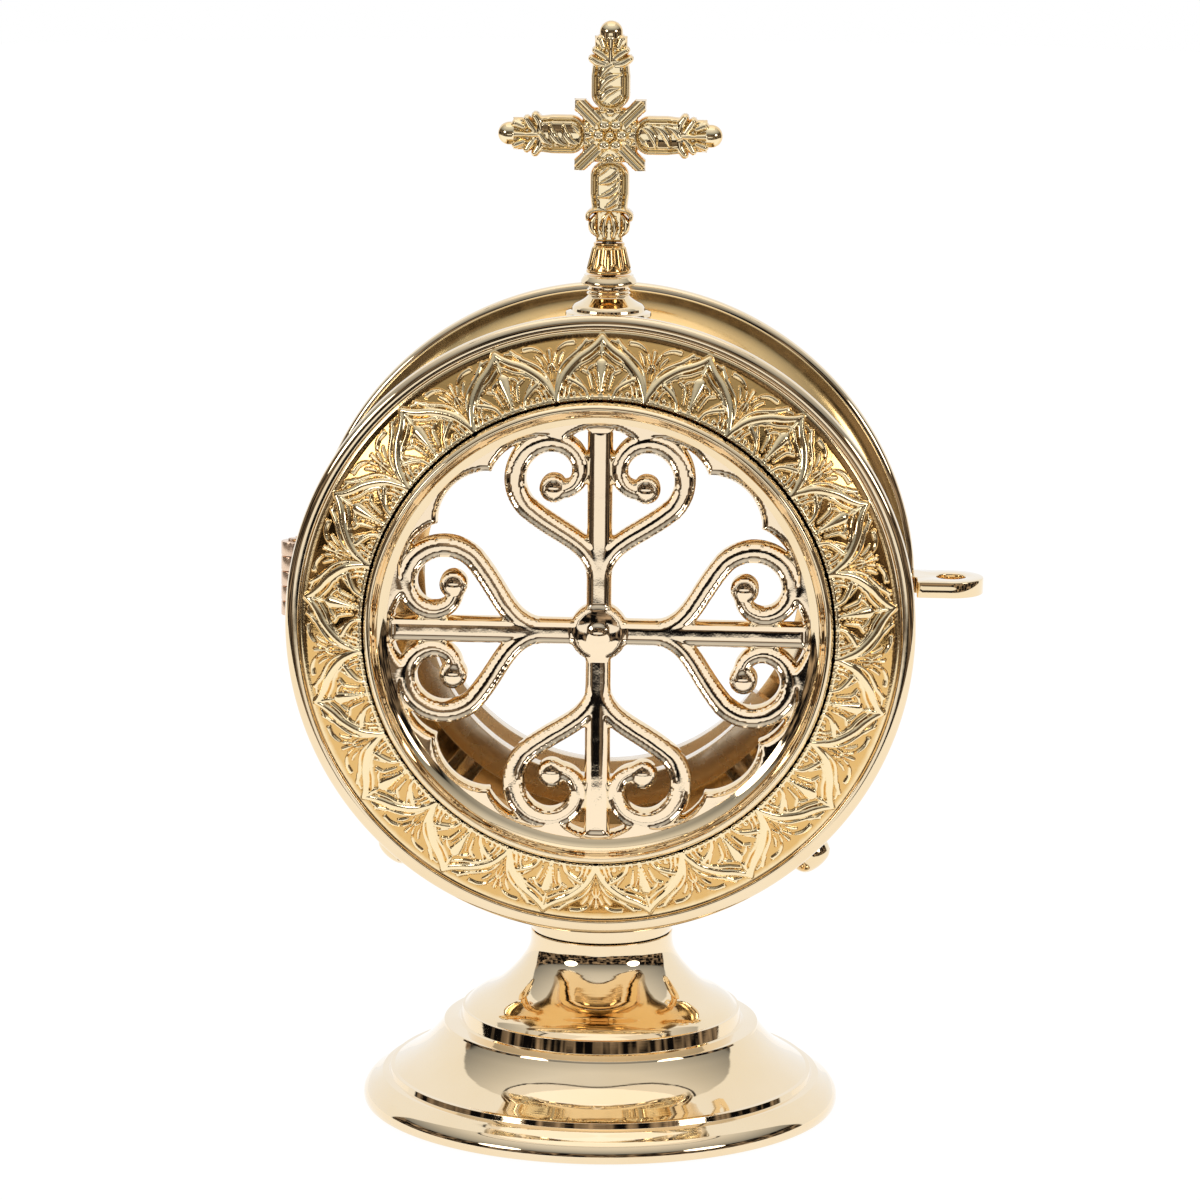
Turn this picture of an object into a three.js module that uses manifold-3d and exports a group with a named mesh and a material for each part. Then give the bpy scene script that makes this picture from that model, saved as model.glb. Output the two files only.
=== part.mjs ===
// Lunette custodial: a round gilt brass case for a lunette, on a turned foot, with a cross on top.
// Millimetres, +Z up, the front faces -Y. The origin is the middle of the underside of the foot.
import * as THREE from 'three';
import { mergeVertices } from 'three/addons/utils/BufferGeometryUtils.js';
import Module from 'manifold-3d';

const wasm = await Module();
wasm.setup();

// Driving dimensions

// general
const sheet = 1.2;            // wall of the spun brass
const gap = 0.3;              // between pieces that touch
const turnedSides = 48;       // facets round the large turned pieces
const hiddenSides = 36;       // facets round the large pieces inside
const smallSides = 18;        // facets round the small turned pieces
const overrun = 1;            // how far a cutter runs past what it cuts

// case
const drumWidth = 37.4;       // between the outer faces of the drum's flanges
const rimOverhang = 1.0;      // the covers' rolled rims reach this far past the drum's flanges
const channelDepth = 6;       // from the edge of the flanges to the drum wall
const drumWall = 1.6;
const flangeThickness = 1.4;
const channelFlare = 9;       // width of the flared part of the channel, at each flange

// covers
const coverRadius = 56;       // widest circle of the rolled rim
const rimBead = 1.5;          // radius of the rolled rim
const rimStep = 2.75;         // from the widest circle in to the groove
const bandWidth = 11.3;       // the domed band between the rim groove and the lip
const bandRise = 5.1;         // how far the band climbs towards the middle
const lipWidth = 1.8;
const lipHeight = 2.0;
const coveWidth = 2.7;        // polished cove inside the lip
const coveDepth = 3.2;

// openwork plate
const plateThickness = 3.0;
const scallopCount = 16;
const scallopDepth = 2.3;     // how far the points reach in from the lobes
const scallopRim = 0.9;       // flat left between the cove and the lobes
const plateLedge = 1.9;       // how far the plate runs under the bezel
const ringThickness = 1.2;    // of the ring behind the plate
const ringWidth = 2.2;
const barWidth = 4.4;
const strokeWidth = 3.5;
const scrollRadius = 8.0;     // where the volute starts
const scrollEnd = 2.6;        // where the volute ends
const scrollTurn = 330;       // degrees that the volute winds through
const scrollRoot = 8.6;       // where a scroll leaves its bar, from the middle
const voluteEye = 2.5;        // radius of the disc that ends a scroll
const bossRadius = 5.2;
const weld = 0.5;             // how far neighbouring strokes run into each other

// back door
const doorOpening = 34.8;
const doorLip = 1.6;
const doorRise = 0.4;         // the door's plain band climbs this much further
const collarWall = 1.0;
const collarReach = 4.0;      // how far the snap collar enters the drum
const collarPlay = 0.5;
const doorSwing = 3.4;        // width of the snap collar's flange
const seatWidth = 2.6;        // of the covers' seat on the flange, inside the rolled rim

// hinge and pull eye
const barrelRadius = 2.2;
const hingePinRadius = 0.9;
const hingePinPlay = 0.15;
const hingePinProud = 0.4;    // at each end
const hingeLength = 14;
const knuckleCount = 5;
const leafThickness = 1.0;
const armThickness = 1.5;
const leafWidth = 4.6;        // how far the leaf on the drum runs over the flange
const rimClearance = 0.4;     // between the barrel and the rolled rim
const eyeThickness = 3.0;
const eyeWidth = 12;
const eyeReach = 12.6;        // from the rim to the end of the eye
const eyeHole = 2.7;          // radius
const eyeRise = 0.8;          // the middle of the eye above the case's axis

// cradle for the lunette
const cradleBore = 32.4;      // inner edge of the cradle's sides
const cradleGroove = 3.2;     // depth of the groove
const cradleWall = 2.4;       // metal behind the groove
const cradleSide = 3.6;       // thickness of each side
const cradleWidth = 17;
const cradleLeft = 75;        // degrees from the bottom to its left end
const cradleRight = 55;       // degrees from the bottom to its right end
const cradleOffset = 9.0;     // middle of the cradle behind the middle of the case
const screwAngle = 39;        // each screw, from the bottom
const screwOffset = 4.0;      // the screws behind the middle of the case
const screwShank = 1.5;       // radius
const screwHead = 3.9;        // radius
const screwHeadHeight = 4.6;
const screwSpacer = 9.2;      // from the drum to the foot of the head
const screwShoulder = 2.4;    // radius of the spacer between head and drum
const screwSlot = 0.9;
const screwSlotDepth = 1.2;
const postRadius = 2.9;

// foot
const footRadius = 43.4;
const neckRadius = 12.95;
const neckTop = 32.2;         // seam between the foot and the saddle
const saddleHeight = 11.4;    // from that seam to the underside of the drum
const saddleFloor = 1.4;      // floor of the saddle round the bolt
const saddleRise = 6;         // how far its sides are drawn up beside the drum, before the drum cuts them
const footRimHeight = 3.6;    // rounded edge of the rim
const lowerStep = 38.3;       // radius of the lower turned step
const lowerStepTop = 6.6;
const upperStep = 28.7;       // radius of the ledge below the upper turned step
const upperStepTop = 17.8;
const stepFace = 25.35;       // radius at the top of the upper step's upright face
const stepFall = 2.8;         // from the top of that face down to the ledge
const basePlate = 1.2;
const feltThickness = 1.2;
const feltProud = 0.3;        // the felt stands this much below the rim
const footSeat = 1.4;         // how far the base plate and felt stay inside the rim

// bolt through the neck
const boltRadius = 3.0;
const boltHead = 6.0;         // radius
const boltHeadHeight = 2.6;
const washerLap = 1.9;        // the washer is this much wider than the inside of the neck
const washerThickness = 1.6;
const nutWidth = 10;          // across flats
const nutHeight = 5;
const threadEnd = 3;          // bolt below the nut

// finial
const finialBase = 7.7;       // radius of the stepped base plate
const finialLip = 0.9;        // height of each of its two steps
const finialSeat = 5.2;       // from the top of the drum to the top of the base plate
const finialFlare = 2.2;      // height of the concave flare above it
const finialNeck = 3.55;      // radius of the ringed neck
const finialNeckHeight = 1.7;
const collarRadius = 5.1;
const collarHeight = 1.8;
const socketBottom = 4.1;     // radius
const socketTop = 2.8;
const socketHeight = 5.4;
const fluteCount = 10;
const fluteDepth = 0.35;
const studRadius = 1.0;
const studBite = 5;           // how far the stud enters the cross
const studEnd = 1.2;          // stud below its nut
const finialNutWidth = 5.5;
const finialNutHeight = 2.4;

// cross
const crossFoot = 19.3;       // from the top of the socket to the middle of the cross
const crossTop = 20.3;        // from the middle to the tip
const crossArm = 20.0;
const crossThickness = 3.6;
const armHalf = 3.5;          // half width of the arms
const centreHalf = 6.4;       // half width of the square with the diagonal bars
const centreCorner = 1.2;     // cut off its corners
const tipRadius = 2.1;
const beadHalf = 4.4;         // half width over the bead clusters
const beadPlace = 13.4;       // bead clusters from the middle
const crossBoss = 3.0;        // radius of the rosette's boss
const stemHalf = 2.6;         // half width where the cross meets its socket

// Places that several pieces share

const flangeRadius = coverRadius - rimOverhang;
const drumRadius = flangeRadius - channelDepth;     // outside of the drum wall
const drumInside = drumRadius - drumWall;
const axisHeight = neckTop + saddleHeight + drumRadius;

// Materials

function metal(color, roughness = 0.14) {
  return new THREE.MeshStandardMaterial({ color, roughness, metalness: 1 });
}
const polished = metal(0xe6b565);
const cast = metal(0xdfae62, 0.2);
const satin = metal(0xb98d56, 0.4);
const pink = metal(0xd9a48a, 0.3);
const steel = metal(0x9a9a98, 0.35);
const felt = new THREE.MeshStandardMaterial({ color: 0x5b1f2a, roughness: 0.95, metalness: 0 });

// Helpers

const rad = THREE.MathUtils.degToRad;

// A closed geometry as a solid, with its faces turned outwards.
function solid(geometry) {
  const flat = geometry.clone();
  flat.deleteAttribute('normal');
  flat.deleteAttribute('uv');
  const merged = mergeVertices(flat, 1e-4);
  const p = merged.attributes.position.array;
  const tri = [];
  const index = merged.index.array;
  for (let i = 0; i < index.length; i += 3) {
    const [a, b, c] = [index[i], index[i + 1], index[i + 2]];
    if (a !== b && b !== c && c !== a) tri.push(a, b, c);
  }
  let volume = 0;
  const v = [0, 1, 2].map(() => new THREE.Vector3());
  for (let i = 0; i < tri.length; i += 3) {
    v.forEach((q, k) => q.fromArray(p, 3 * tri[i + k]));
    volume += v[0].dot(v[1].clone().cross(v[2]));
  }
  if (volume < 0) for (let i = 0; i < tri.length; i += 3) [tri[i], tri[i + 1]] = [tri[i + 1], tri[i]];
  return new wasm.Manifold(new wasm.Mesh({
    numProp: 3, vertProperties: new Float32Array(p), triVerts: new Uint32Array(tri) }));
}

function cut(a, ...others) {
  return others.reduce((s, o) => s.subtract(o), a);
}

function join(a, ...others) {
  return others.reduce((s, o) => s.add(o), a);
}

const model = new THREE.Group();

function add(name, body, material) {
  const out = body.getMesh();
  const geometry = new THREE.BufferGeometry();
  const count = out.vertProperties.length / out.numProp;
  const position = new Float32Array(count * 3);
  for (let i = 0; i < count; i++) {
    for (let k = 0; k < 3; k++) position[3 * i + k] = out.vertProperties[i * out.numProp + k];
  }
  geometry.setAttribute('position', new THREE.BufferAttribute(position, 3));
  geometry.setIndex(new THREE.BufferAttribute(new Uint32Array(out.triVerts), 1));
  geometry.computeVertexNormals();
  const mesh = new THREE.Mesh(geometry, material);
  mesh.name = name;
  model.add(mesh);
}

// A profile of [radius, height] points turned round Z, at a place on the table's axis.
function turnedUp(points, sides = turnedSides, z = 0) {
  const g = new THREE.LatheGeometry(points.map(([r, h]) => new THREE.Vector2(r, h)), sides);
  return solid(g.rotateX(Math.PI / 2).translate(0, 0, z));
}

// A closed profile of [radius, distance from the middle of the case] points turned round the
// case's axis. The front takes side -1 and the back takes side 1.
function turnedCase(points, side, sides = turnedSides) {
  const loop = [...points, points[0]];
  const g = new THREE.LatheGeometry(loop.map(([r, h]) => new THREE.Vector2(r, side * h)), sides);
  return solid(g.translate(0, 0, axisHeight));
}

function ringProfile(points) {
  return [...points, points[0]];
}

function disc(radius, z0, z1) {
  return [[0, z0], [radius, z0], [radius, z1], [0, z1]];
}

// The points of a round corner, from one angle to another in degrees.
function arc(cx, cy, radius, from, to, steps) {
  const out = [];
  for (let i = 0; i <= steps; i++) {
    const a = rad(from + (to - from) * i / steps);
    out.push([cx + radius * Math.cos(a), cy + radius * Math.sin(a)]);
  }
  return out;
}

// A quadratic curve from one profile point to another, bent towards a third.
function bend(from, towards, to, steps) {
  const out = [];
  for (let i = 0; i <= steps; i++) {
    const t = i / steps;
    const u = 1 - t;
    out.push([0, 1].map((k) => u * u * from[k] + 2 * u * t * towards[k] + t * t * to[k]));
  }
  return out;
}

// The radius of an open profile at a height, and the height at a radius.
function radiusAt(profile, height) {
  for (let i = 1; i < profile.length; i++) {
    const [[r0, h0], [r1, h1]] = [profile[i - 1], profile[i]];
    if ((h0 - height) * (h1 - height) <= 0 && h0 !== h1) return r0 + (r1 - r0) * (height - h0) / (h1 - h0);
  }
  return profile[profile.length - 1][0];
}

function heightAt(profile, radius) {
  for (let i = 1; i < profile.length; i++) {
    const [[r0, h0], [r1, h1]] = [profile[i - 1], profile[i]];
    if ((r0 - radius) * (r1 - radius) <= 0 && r0 !== r1) return h0 + (h1 - h0) * (radius - r0) / (r1 - r0);
  }
  return profile[profile.length - 1][1];
}

// An open profile moved sideways by a distance, to its left as it runs.
function offset(profile, distance) {
  return profile.map(([r, h], i) => {
    const [r0, h0] = profile[Math.max(i - 1, 0)];
    const [r1, h1] = profile[Math.min(i + 1, profile.length - 1)];
    const length = Math.hypot(r1 - r0, h1 - h0);
    return [r - distance * (h1 - h0) / length, h + distance * (r1 - r0) / length];
  });
}

// A profile with only the points that it needs to stay within a distance of its old line.
function simpler(profile, distance) {
  const last = profile.length - 1;
  const [[r0, h0], [r1, h1]] = [profile[0], profile[last]];
  const length = Math.hypot(r1 - r0, h1 - h0);
  let worst = 0;
  let at = 0;
  for (let i = 1; i < last; i++) {
    const [r, h] = profile[i];
    const off = Math.abs((r - r0) * (h1 - h0) - (h - h0) * (r1 - r0)) / length;
    if (off > worst) [worst, at] = [off, i];
  }
  if (worst < distance) return [profile[0], profile[last]];
  const before = simpler(profile.slice(0, at + 1), distance);
  return [...before.slice(0, -1), ...simpler(profile.slice(at), distance)];
}

function box(x0, x1, y0, y1, z0, z1) {
  const g = new THREE.BoxGeometry(x1 - x0, y1 - y0, z1 - z0);
  return solid(g.translate((x0 + x1) / 2, (y0 + y1) / 2, (z0 + z1) / 2));
}

function rod(radius, z0, z1, x = 0, y = 0, sides = smallSides) {
  const g = new THREE.CylinderGeometry(radius, radius, z1 - z0, sides);
  return solid(g.rotateX(Math.PI / 2).translate(x, y, (z0 + z1) / 2));
}

// Foot

const footBottom = feltProud;
const ledge = upperStepTop - stepFall;
const footOutside = [
  [footRadius, footBottom],
  ...bend([footRadius, footBottom + 0.6], [footRadius - 0.3, footRimHeight],
    [lowerStep + 1.6, lowerStepTop - 1.2], 3),
  [lowerStep + 0.1, lowerStepTop - 0.9],
  [lowerStep - 0.3, lowerStepTop],
  ...bend([lowerStep - 1.6, lowerStepTop + 0.3], [upperStep + 1.9, lowerStepTop + 3.2],
    [upperStep + 0.1, ledge - 0.4], 3),
  [upperStep, ledge], [stepFace + 0.4, ledge + 0.3], [stepFace, upperStepTop],
  ...bend([stepFace - 0.6, upperStepTop + 0.2], [upperStep - 6.2, upperStepTop + 2.6],
    [upperStep - 9.6, upperStepTop + 3.9], 2),
  ...bend([upperStep - 11.4, upperStepTop + 5.4], [neckRadius + 0.1, upperStepTop + 9.2],
    [neckRadius, neckTop], 4),
];
const footInside = simpler(offset(footOutside, sheet * 1.2), sheet * 0.35).slice(1, -1);
const footHollow = [[footRadius - footSeat, footBottom], ...footInside, [neckRadius - sheet, neckTop]];
const footShell = turnedUp(ringProfile([...footOutside, ...footHollow.reverse()]));
footHollow.reverse();

const plateRadius = radiusAt(footHollow, feltThickness + gap + basePlate) - gap - 0.5;
add('foot_shell', footShell, polished);
add('felt_pad', turnedUp(disc(footRadius - footSeat - gap - 0.3, 0, feltThickness)), felt);
add('foot_base_plate', turnedUp(disc(plateRadius, feltThickness, feltThickness + basePlate)), steel);

// Case drum, a spool turned round the case's axis

const faceAt = drumWidth / 2;                       // outer face of each flange
const flangeBack = faceAt - flangeThickness;
const flareStart = flangeBack - channelFlare;
const channelSide = bend([drumRadius, flareStart], [drumRadius, flangeBack - 1.2],
  [flangeRadius, flangeBack], 3);
const channel = [...channelSide.map(([r, h]) => [r, -h]).reverse(), ...channelSide];
const drumOutside = [[flangeRadius, -faceAt], ...channel, [flangeRadius, faceAt]];
const drumBody = turnedCase([...drumOutside, [drumInside, faceAt], [drumInside, -faceAt]], 1);

// What the pieces that stand on the drum are cut with: its outside, grown by the gap.
const drumForm = turnedCase([[0, -faceAt - gap], [flangeRadius + gap, -faceAt - gap],
  ...channel.map(([r, h]) => [r + gap, h]), [flangeRadius + gap, faceAt + gap], [0, faceAt + gap]], 1);

// Saddle between the neck and the drum

const saddleBottom = neckTop + gap;
const saddleTop = axisHeight - drumRadius;
const saddleInside = neckRadius - sheet;
const saddle = turnedUp(ringProfile([
  [neckRadius, saddleBottom],
  [neckRadius + 0.1, saddleBottom + 3],
  [neckRadius + 0.5, saddleTop - 4],
  [neckRadius + 1.4, saddleTop],
  [neckRadius + 1.6, saddleTop + saddleRise],
  [saddleInside, saddleTop + saddleRise],
  [saddleInside, saddleBottom + saddleFloor],
  [boltRadius + gap, saddleBottom + saddleFloor],
  [boltRadius + gap, saddleBottom],
]), hiddenSides);
add('neck_saddle', cut(saddle, drumForm), polished);

// Bolt from inside the drum down through saddle and neck

const washerRadius = neckRadius - sheet + washerLap;
const washerTop = heightAt(footHollow, washerRadius + gap) - gap;
const washerBottom = washerTop - washerThickness;
const nutBottom = washerBottom - gap - nutHeight;
const drumFloor = axisHeight - Math.sqrt(drumInside ** 2 - boltHead ** 2);
const boltHole = rod(boltRadius + gap, saddleTop - overrun, drumFloor + overrun);
add('case_bolt', join(
  rod(boltRadius, nutBottom - threadEnd, drumFloor + gap + weld),
  rod(boltHead, drumFloor + gap, drumFloor + gap + boltHeadHeight)), steel);
add('foot_washer', cut(rod(washerRadius, washerBottom, washerTop),
  rod(boltRadius + gap, washerBottom - overrun, washerTop + overrun)), steel);
add('foot_nut', cut(rod(nutWidth / Math.sqrt(3), nutBottom, nutBottom + nutHeight, 0, 0, 6),
  rod(boltRadius + gap, nutBottom - overrun, washerTop)), steel);

// Covers: the outside of the rolled rim and its groove, shared by the front ring and the door

const rimSeat = faceAt + gap;                       // the covers sit against the flanges here
const beadAt = rimSeat + rimBead;                   // plane of the widest circle
const grooveRadius = coverRadius - rimStep;
const rimOutside = [
  [coverRadius - rimBead, rimSeat],
  ...arc(coverRadius - rimBead, beadAt, rimBead, -45, 90, 3),
  [grooveRadius + 0.3, beadAt + rimBead],
  [grooveRadius, beadAt + rimBead - 0.4],
];
const bandOuter = [grooveRadius - 0.3, beadAt + rimBead - 0.2];
const seatInner = coverRadius - rimBead - seatWidth;    // inner edge of the seat on the flange

function bandTo(radius, rise, steps) {
  const end = [radius, bandOuter[1] + rise];
  const middle = [(bandOuter[0] + radius) / 2, bandOuter[1] + 0.62 * rise];
  return bend(bandOuter, middle, end, steps);
}

// Front cover ring with its domed band

const bandInner = grooveRadius - bandWidth;
const frontBand = bandTo(bandInner, bandRise, 3);
const bandTop = bandOuter[1] + bandRise;
const frontInside = simpler(offset(frontBand, sheet).filter(([r]) => r > bandInner + gap && r < seatInner),
  sheet / 10).reverse();
add('front_cover_ring', turnedCase([...rimOutside, ...frontBand,
  [bandInner, bandTop - sheet], ...frontInside, [seatInner, beadAt], [seatInner, rimSeat]], -1), cast);

// Bezel with the plain lip and the cove

const bezelRadius = bandInner - gap;
const lipInner = bezelRadius - lipWidth + 0.3;
const lipTop = bandTop + lipHeight;
const coveInner = lipInner - coveWidth;
const plateFront = lipTop - coveDepth;              // front face of the openwork plate
const plateBack = plateFront - plateThickness;
const plateRadiusOut = coveInner + plateLedge;
const pocketFloor = plateBack - gap - ringThickness - gap;
const bezelFlange = 2.2;                            // the bezel's flange behind the cover ring
add('front_bezel', turnedCase([
  [bezelRadius, bandTop - sheet - gap],
  [bezelRadius, bandTop + 0.4],
  ...bend([bezelRadius - 0.2, lipTop - 0.6], [bezelRadius - 0.4, lipTop], [lipInner + 0.6, lipTop], 2),
  [lipInner, lipTop - 0.1],
  ...bend([lipInner - 0.3, lipTop - 0.7], [lipInner - 1.1, plateFront + gap + 0.5],
    [coveInner, plateFront + gap], 3),
  [plateRadiusOut + gap, plateFront + gap],
  [plateRadiusOut + gap, pocketFloor],
  [bezelRadius, pocketFloor],
  [bezelRadius + bezelFlange, pocketFloor + 1.0],
  [bezelRadius + bezelFlange, bandTop - sheet - gap - 1.6],
], -1), polished);

// Openwork plate: scalloped frame, four bars, eight scrolls and a boss, drawn in the plane of the
// case with x to the right and z up

const lobeRadius = coveInner - scallopRim;
const pointRadius = lobeRadius - scallopDepth;

function scallopEdge() {
  const path = [];
  const step = 2 * Math.PI / scallopCount;
  const perLobe = 4;
  for (let k = 0; k < scallopCount; k++) {
    for (let i = 0; i < perLobe; i++) {
      const u = i / perLobe;
      const a = (k + 0.5 + u) * step;
      const lift = Math.sin(Math.PI * u) ** 0.75;
      const r = pointRadius + scallopDepth * lift;
      path.push(new THREE.Vector2(r * Math.sin(a), r * Math.cos(a)));
    }
  }
  return path;
}

function circlePath(radius, count, cx = 0, cz = 0) {
  const path = [];
  for (let i = 0; i < count; i++) {
    const a = 2 * Math.PI * i / count;
    path.push(new THREE.Vector2(cx + radius * Math.cos(a), cz + radius * Math.sin(a)));
  }
  return path;
}

// A flat shape in the plane of the case, thickened between two distances in front of its middle.
function inFront(shape, back, front) {
  const g = new THREE.ExtrudeGeometry(shape, { depth: front - back, bevelEnabled: false });
  return solid(g.rotateX(Math.PI / 2).translate(0, -back, axisHeight));
}

// The centre line of one scroll, to the right of the upper bar: a lead-in and then a volute.
function scrollLine() {
  const start = -50;                                // degrees, where the lead-in meets the volute
  const bridge = 70;                                // where the volute touches the frame
  const side = 180;                                 // where it touches the bar
  const radiusOf = (deg) => scrollRadius - (scrollRadius - scrollEnd) * (deg - start) / scrollTurn;
  const reach = lobeRadius - radiusOf(bridge) - strokeWidth / 2 + weld;
  const cx = barWidth / 2 + radiusOf(side) + strokeWidth / 2 - weld;
  const cz = Math.sqrt(reach ** 2 - cx ** 2);
  const at = (deg) => new THREE.Vector2(
    cx + radiusOf(deg) * Math.cos(rad(deg)), cz + radiusOf(deg) * Math.sin(rad(deg)));
  const first = at(start);
  const tangent = new THREE.Vector2(-Math.sin(rad(start)), Math.cos(rad(start)));
  const lead = new THREE.CubicBezierCurve(
    new THREE.Vector2(0, scrollRoot), new THREE.Vector2(barWidth / 6, scrollRoot + scrollRadius),
    first.clone().addScaledVector(tangent, -1.1 * scrollRadius), first);
  const line = lead.getPoints(5);
  const steps = 12;
  for (let i = 1; i <= steps; i++) line.push(at(start + scrollTurn * i / steps));
  return line;
}

// A stroke of even width along a line.
function strokeShape(line, width) {
  const left = [];
  const right = [];
  line.forEach((p, i) => {
    const a = line[Math.max(i - 1, 0)];
    const b = line[Math.min(i + 1, line.length - 1)];
    const n = new THREE.Vector2(-(b.y - a.y), b.x - a.x).normalize().multiplyScalar(width / 2);
    left.push(p.clone().add(n));
    right.push(p.clone().sub(n));
  });
  return new THREE.Shape([...left, ...right.reverse()]);
}

const frame = new THREE.Shape(circlePath(plateRadiusOut, turnedSides));
frame.holes.push(new THREE.Path(scallopEdge()));
let openwork = inFront(frame, plateBack, plateFront);
const scroll = scrollLine();
const eyeAt = scroll[scroll.length - 1];
const strokeFront = plateFront + 0.2;
const oneScroll = join(
  inFront(strokeShape(scroll, strokeWidth), plateBack, strokeFront),
  inFront(new THREE.Shape(circlePath(voluteEye, 12, eyeAt.x, eyeAt.y)), plateBack, strokeFront + 0.3));
const oneBar = inFront(new THREE.Shape([
  new THREE.Vector2(-barWidth / 2, 0), new THREE.Vector2(barWidth / 2, 0),
  new THREE.Vector2(barWidth / 2, pointRadius + scallopDepth + weld),
  new THREE.Vector2(-barWidth / 2, pointRadius + scallopDepth + weld)]), plateBack, strokeFront);
const toAxis = (s) => s.translate([0, 0, -axisHeight]);
const fromAxis = (s) => s.translate([0, 0, axisHeight]);
const arm = toAxis(join(oneScroll, oneBar));
const bothSides = arm.add(arm.mirror([1, 0, 0]));
for (let k = 0; k < 4; k++) openwork = openwork.add(fromAxis(bothSides.rotate([0, 90 * k, 0])));
const bossShape = new THREE.Shape(circlePath(bossRadius, smallSides));
openwork = openwork.add(inFront(bossShape, plateBack, strokeFront + 0.8));
add('openwork_plate', openwork, cast);

// Ring that holds the plate from inside

add('plate_retaining_ring', turnedCase([
  [plateRadiusOut, plateBack - gap], [plateRadiusOut - ringWidth, plateBack - gap],
  [plateRadiusOut - ringWidth, plateBack - gap - ringThickness],
  [plateRadiusOut, plateBack - gap - ringThickness]], -1, hiddenSides), satin);

// Back door: the same rim, a plain band and a round opening

const doorBandEnd = doorOpening + doorLip + 1.6;
const doorBand = bandTo(doorBandEnd, bandRise + doorRise, 4);
const doorTop = doorBand[doorBand.length - 1][1];
const doorInside = simpler(offset(doorBand, sheet).filter(([r]) => r > doorBandEnd && r < seatInner),
  sheet / 10).reverse();
add('back_door_ring', turnedCase([...rimOutside, ...doorBand,
  [doorBandEnd - 0.3, doorTop + 0.1],
  ...bend([doorBandEnd - 0.6, doorTop + 0.6], [doorOpening + doorLip / 2, doorTop + 1.4],
    [doorOpening, doorTop], 2),
  [doorOpening, doorTop - sheet],
  ...doorInside, [seatInner, beadAt], [seatInner, rimSeat]], 1), polished);

const collarOuter = drumInside - collarPlay;
const collarFlangeOut = collarOuter + doorSwing;
add('door_snap_collar', turnedCase([
  [collarOuter, faceAt - collarReach], [collarOuter, rimSeat + gap], [collarFlangeOut, rimSeat + gap],
  [collarFlangeOut, rimSeat + gap + collarWall], [collarOuter - collarWall, rimSeat + gap + collarWall],
  [collarOuter - collarWall, faceAt - collarReach]], 1, hiddenSides), satin);

// Hinge on the left, its axis upright at the seam between drum and door

const hingeX = -(coverRadius + rimClearance + barrelRadius);
const hingeY = faceAt + gap / 2;
const hingeLow = axisHeight - hingeLength / 2;
const knuckle = hingeLength / knuckleCount;
const pinHole = rod(hingePinRadius + hingePinPlay, hingeLow - overrun, hingeLow + hingeLength + overrun,
  hingeX, hingeY);

function knuckles(parity) {
  let all = null;
  for (let i = parity; i < knuckleCount; i += 2) {
    const low = hingeLow + i * knuckle + (i > 0 ? gap / 2 : 0);
    const high = hingeLow + (i + 1) * knuckle - (i < knuckleCount - 1 ? gap / 2 : 0);
    const one = rod(barrelRadius, low, high, hingeX, hingeY);
    all = all ? all.add(one) : one;
  }
  return all;
}

// Room for the other leaf's knuckles in a leaf's plate.
function knuckleRoom(parity) {
  let all = null;
  for (let i = parity; i < knuckleCount; i += 2) {
    const low = hingeLow + i * knuckle - gap / 2;
    const one = rod(barrelRadius + gap, low, low + knuckle + gap, hingeX, hingeY);
    all = all ? all.add(one) : one;
  }
  return all;
}

// Each leaf is an angle: a plate, and an arm beside the barrel. The arms stay on the case's side of
// the hinge's axis, so that the door can swing right round.
const caseLeafBack = flangeBack - gap;
const caseLeaf = join(
  box(hingeX, -(flangeRadius - leafWidth), caseLeafBack - leafThickness, caseLeafBack,
    hingeLow, hingeLow + hingeLength),
  box(hingeX, hingeX + armThickness, caseLeafBack - leafThickness, hingeY,
    hingeLow, hingeLow + hingeLength));
add('hinge_leaf_case', cut(join(cut(caseLeaf, knuckleRoom(1)), knuckles(0)), pinHole, drumForm,
  turnedCase([[0, rimSeat - gap], [coverRadius + gap, rimSeat - gap], [coverRadius + gap, coverRadius],
    [0, coverRadius]], 1)), pink);

const rimTop = beadAt + rimBead;
const doorLeafFront = rimTop + gap;
const doorLeaf = join(
  box(hingeX, -(grooveRadius + 0.2), doorLeafFront, doorLeafFront + leafThickness,
    hingeLow, hingeLow + hingeLength),
  box(hingeX, hingeX + armThickness, hingeY, doorLeafFront + leafThickness,
    hingeLow, hingeLow + hingeLength));
add('hinge_leaf_door', cut(join(cut(doorLeaf, knuckleRoom(0)), knuckles(1)), pinHole), pink);
add('hinge_pin', rod(hingePinRadius, hingeLow - hingePinProud, hingeLow + hingeLength + hingePinProud,
  hingeX, hingeY, 16), pink);

// Pull eye on the right edge of the door

const eyeZ = axisHeight + eyeRise;
const eyeEnd = coverRadius + eyeReach;
const eyeRound = eyeEnd - eyeWidth / 2;
const eyeShape = new THREE.Shape([
  new THREE.Vector2(coverRadius - rimBead, beadAt - eyeWidth / 2),
  ...arc(eyeRound, beadAt, eyeWidth / 2, -90, 90, 12).map(([x, y]) => new THREE.Vector2(x, y)),
  new THREE.Vector2(coverRadius - rimBead, beadAt + eyeWidth / 2),
]);
eyeShape.holes.push(new THREE.Path(circlePath(eyeHole, 20, eyeRound, beadAt)));
const eyeBlank = solid(new THREE.ExtrudeGeometry(eyeShape, { depth: eyeThickness, bevelEnabled: false })
  .translate(0, 0, eyeZ - eyeThickness / 2));
const doorForm = turnedCase([[0, -faceAt], [coverRadius - rimBead, -faceAt],
  [coverRadius - rimBead, rimSeat - gap],
  ...arc(coverRadius - rimBead, beadAt, rimBead + gap, -60, 90, 6), [0, rimTop + gap]], 1);
const flangeForm = turnedCase([[0, -faceAt], [coverRadius + gap, -faceAt], [coverRadius + gap, rimSeat],
  [0, rimSeat]], 1);
add('pull_eye', cut(eyeBlank, doorForm, flangeForm), polished);

// Cradle that the lunette stands in, held by two screws through the drum wall

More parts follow.
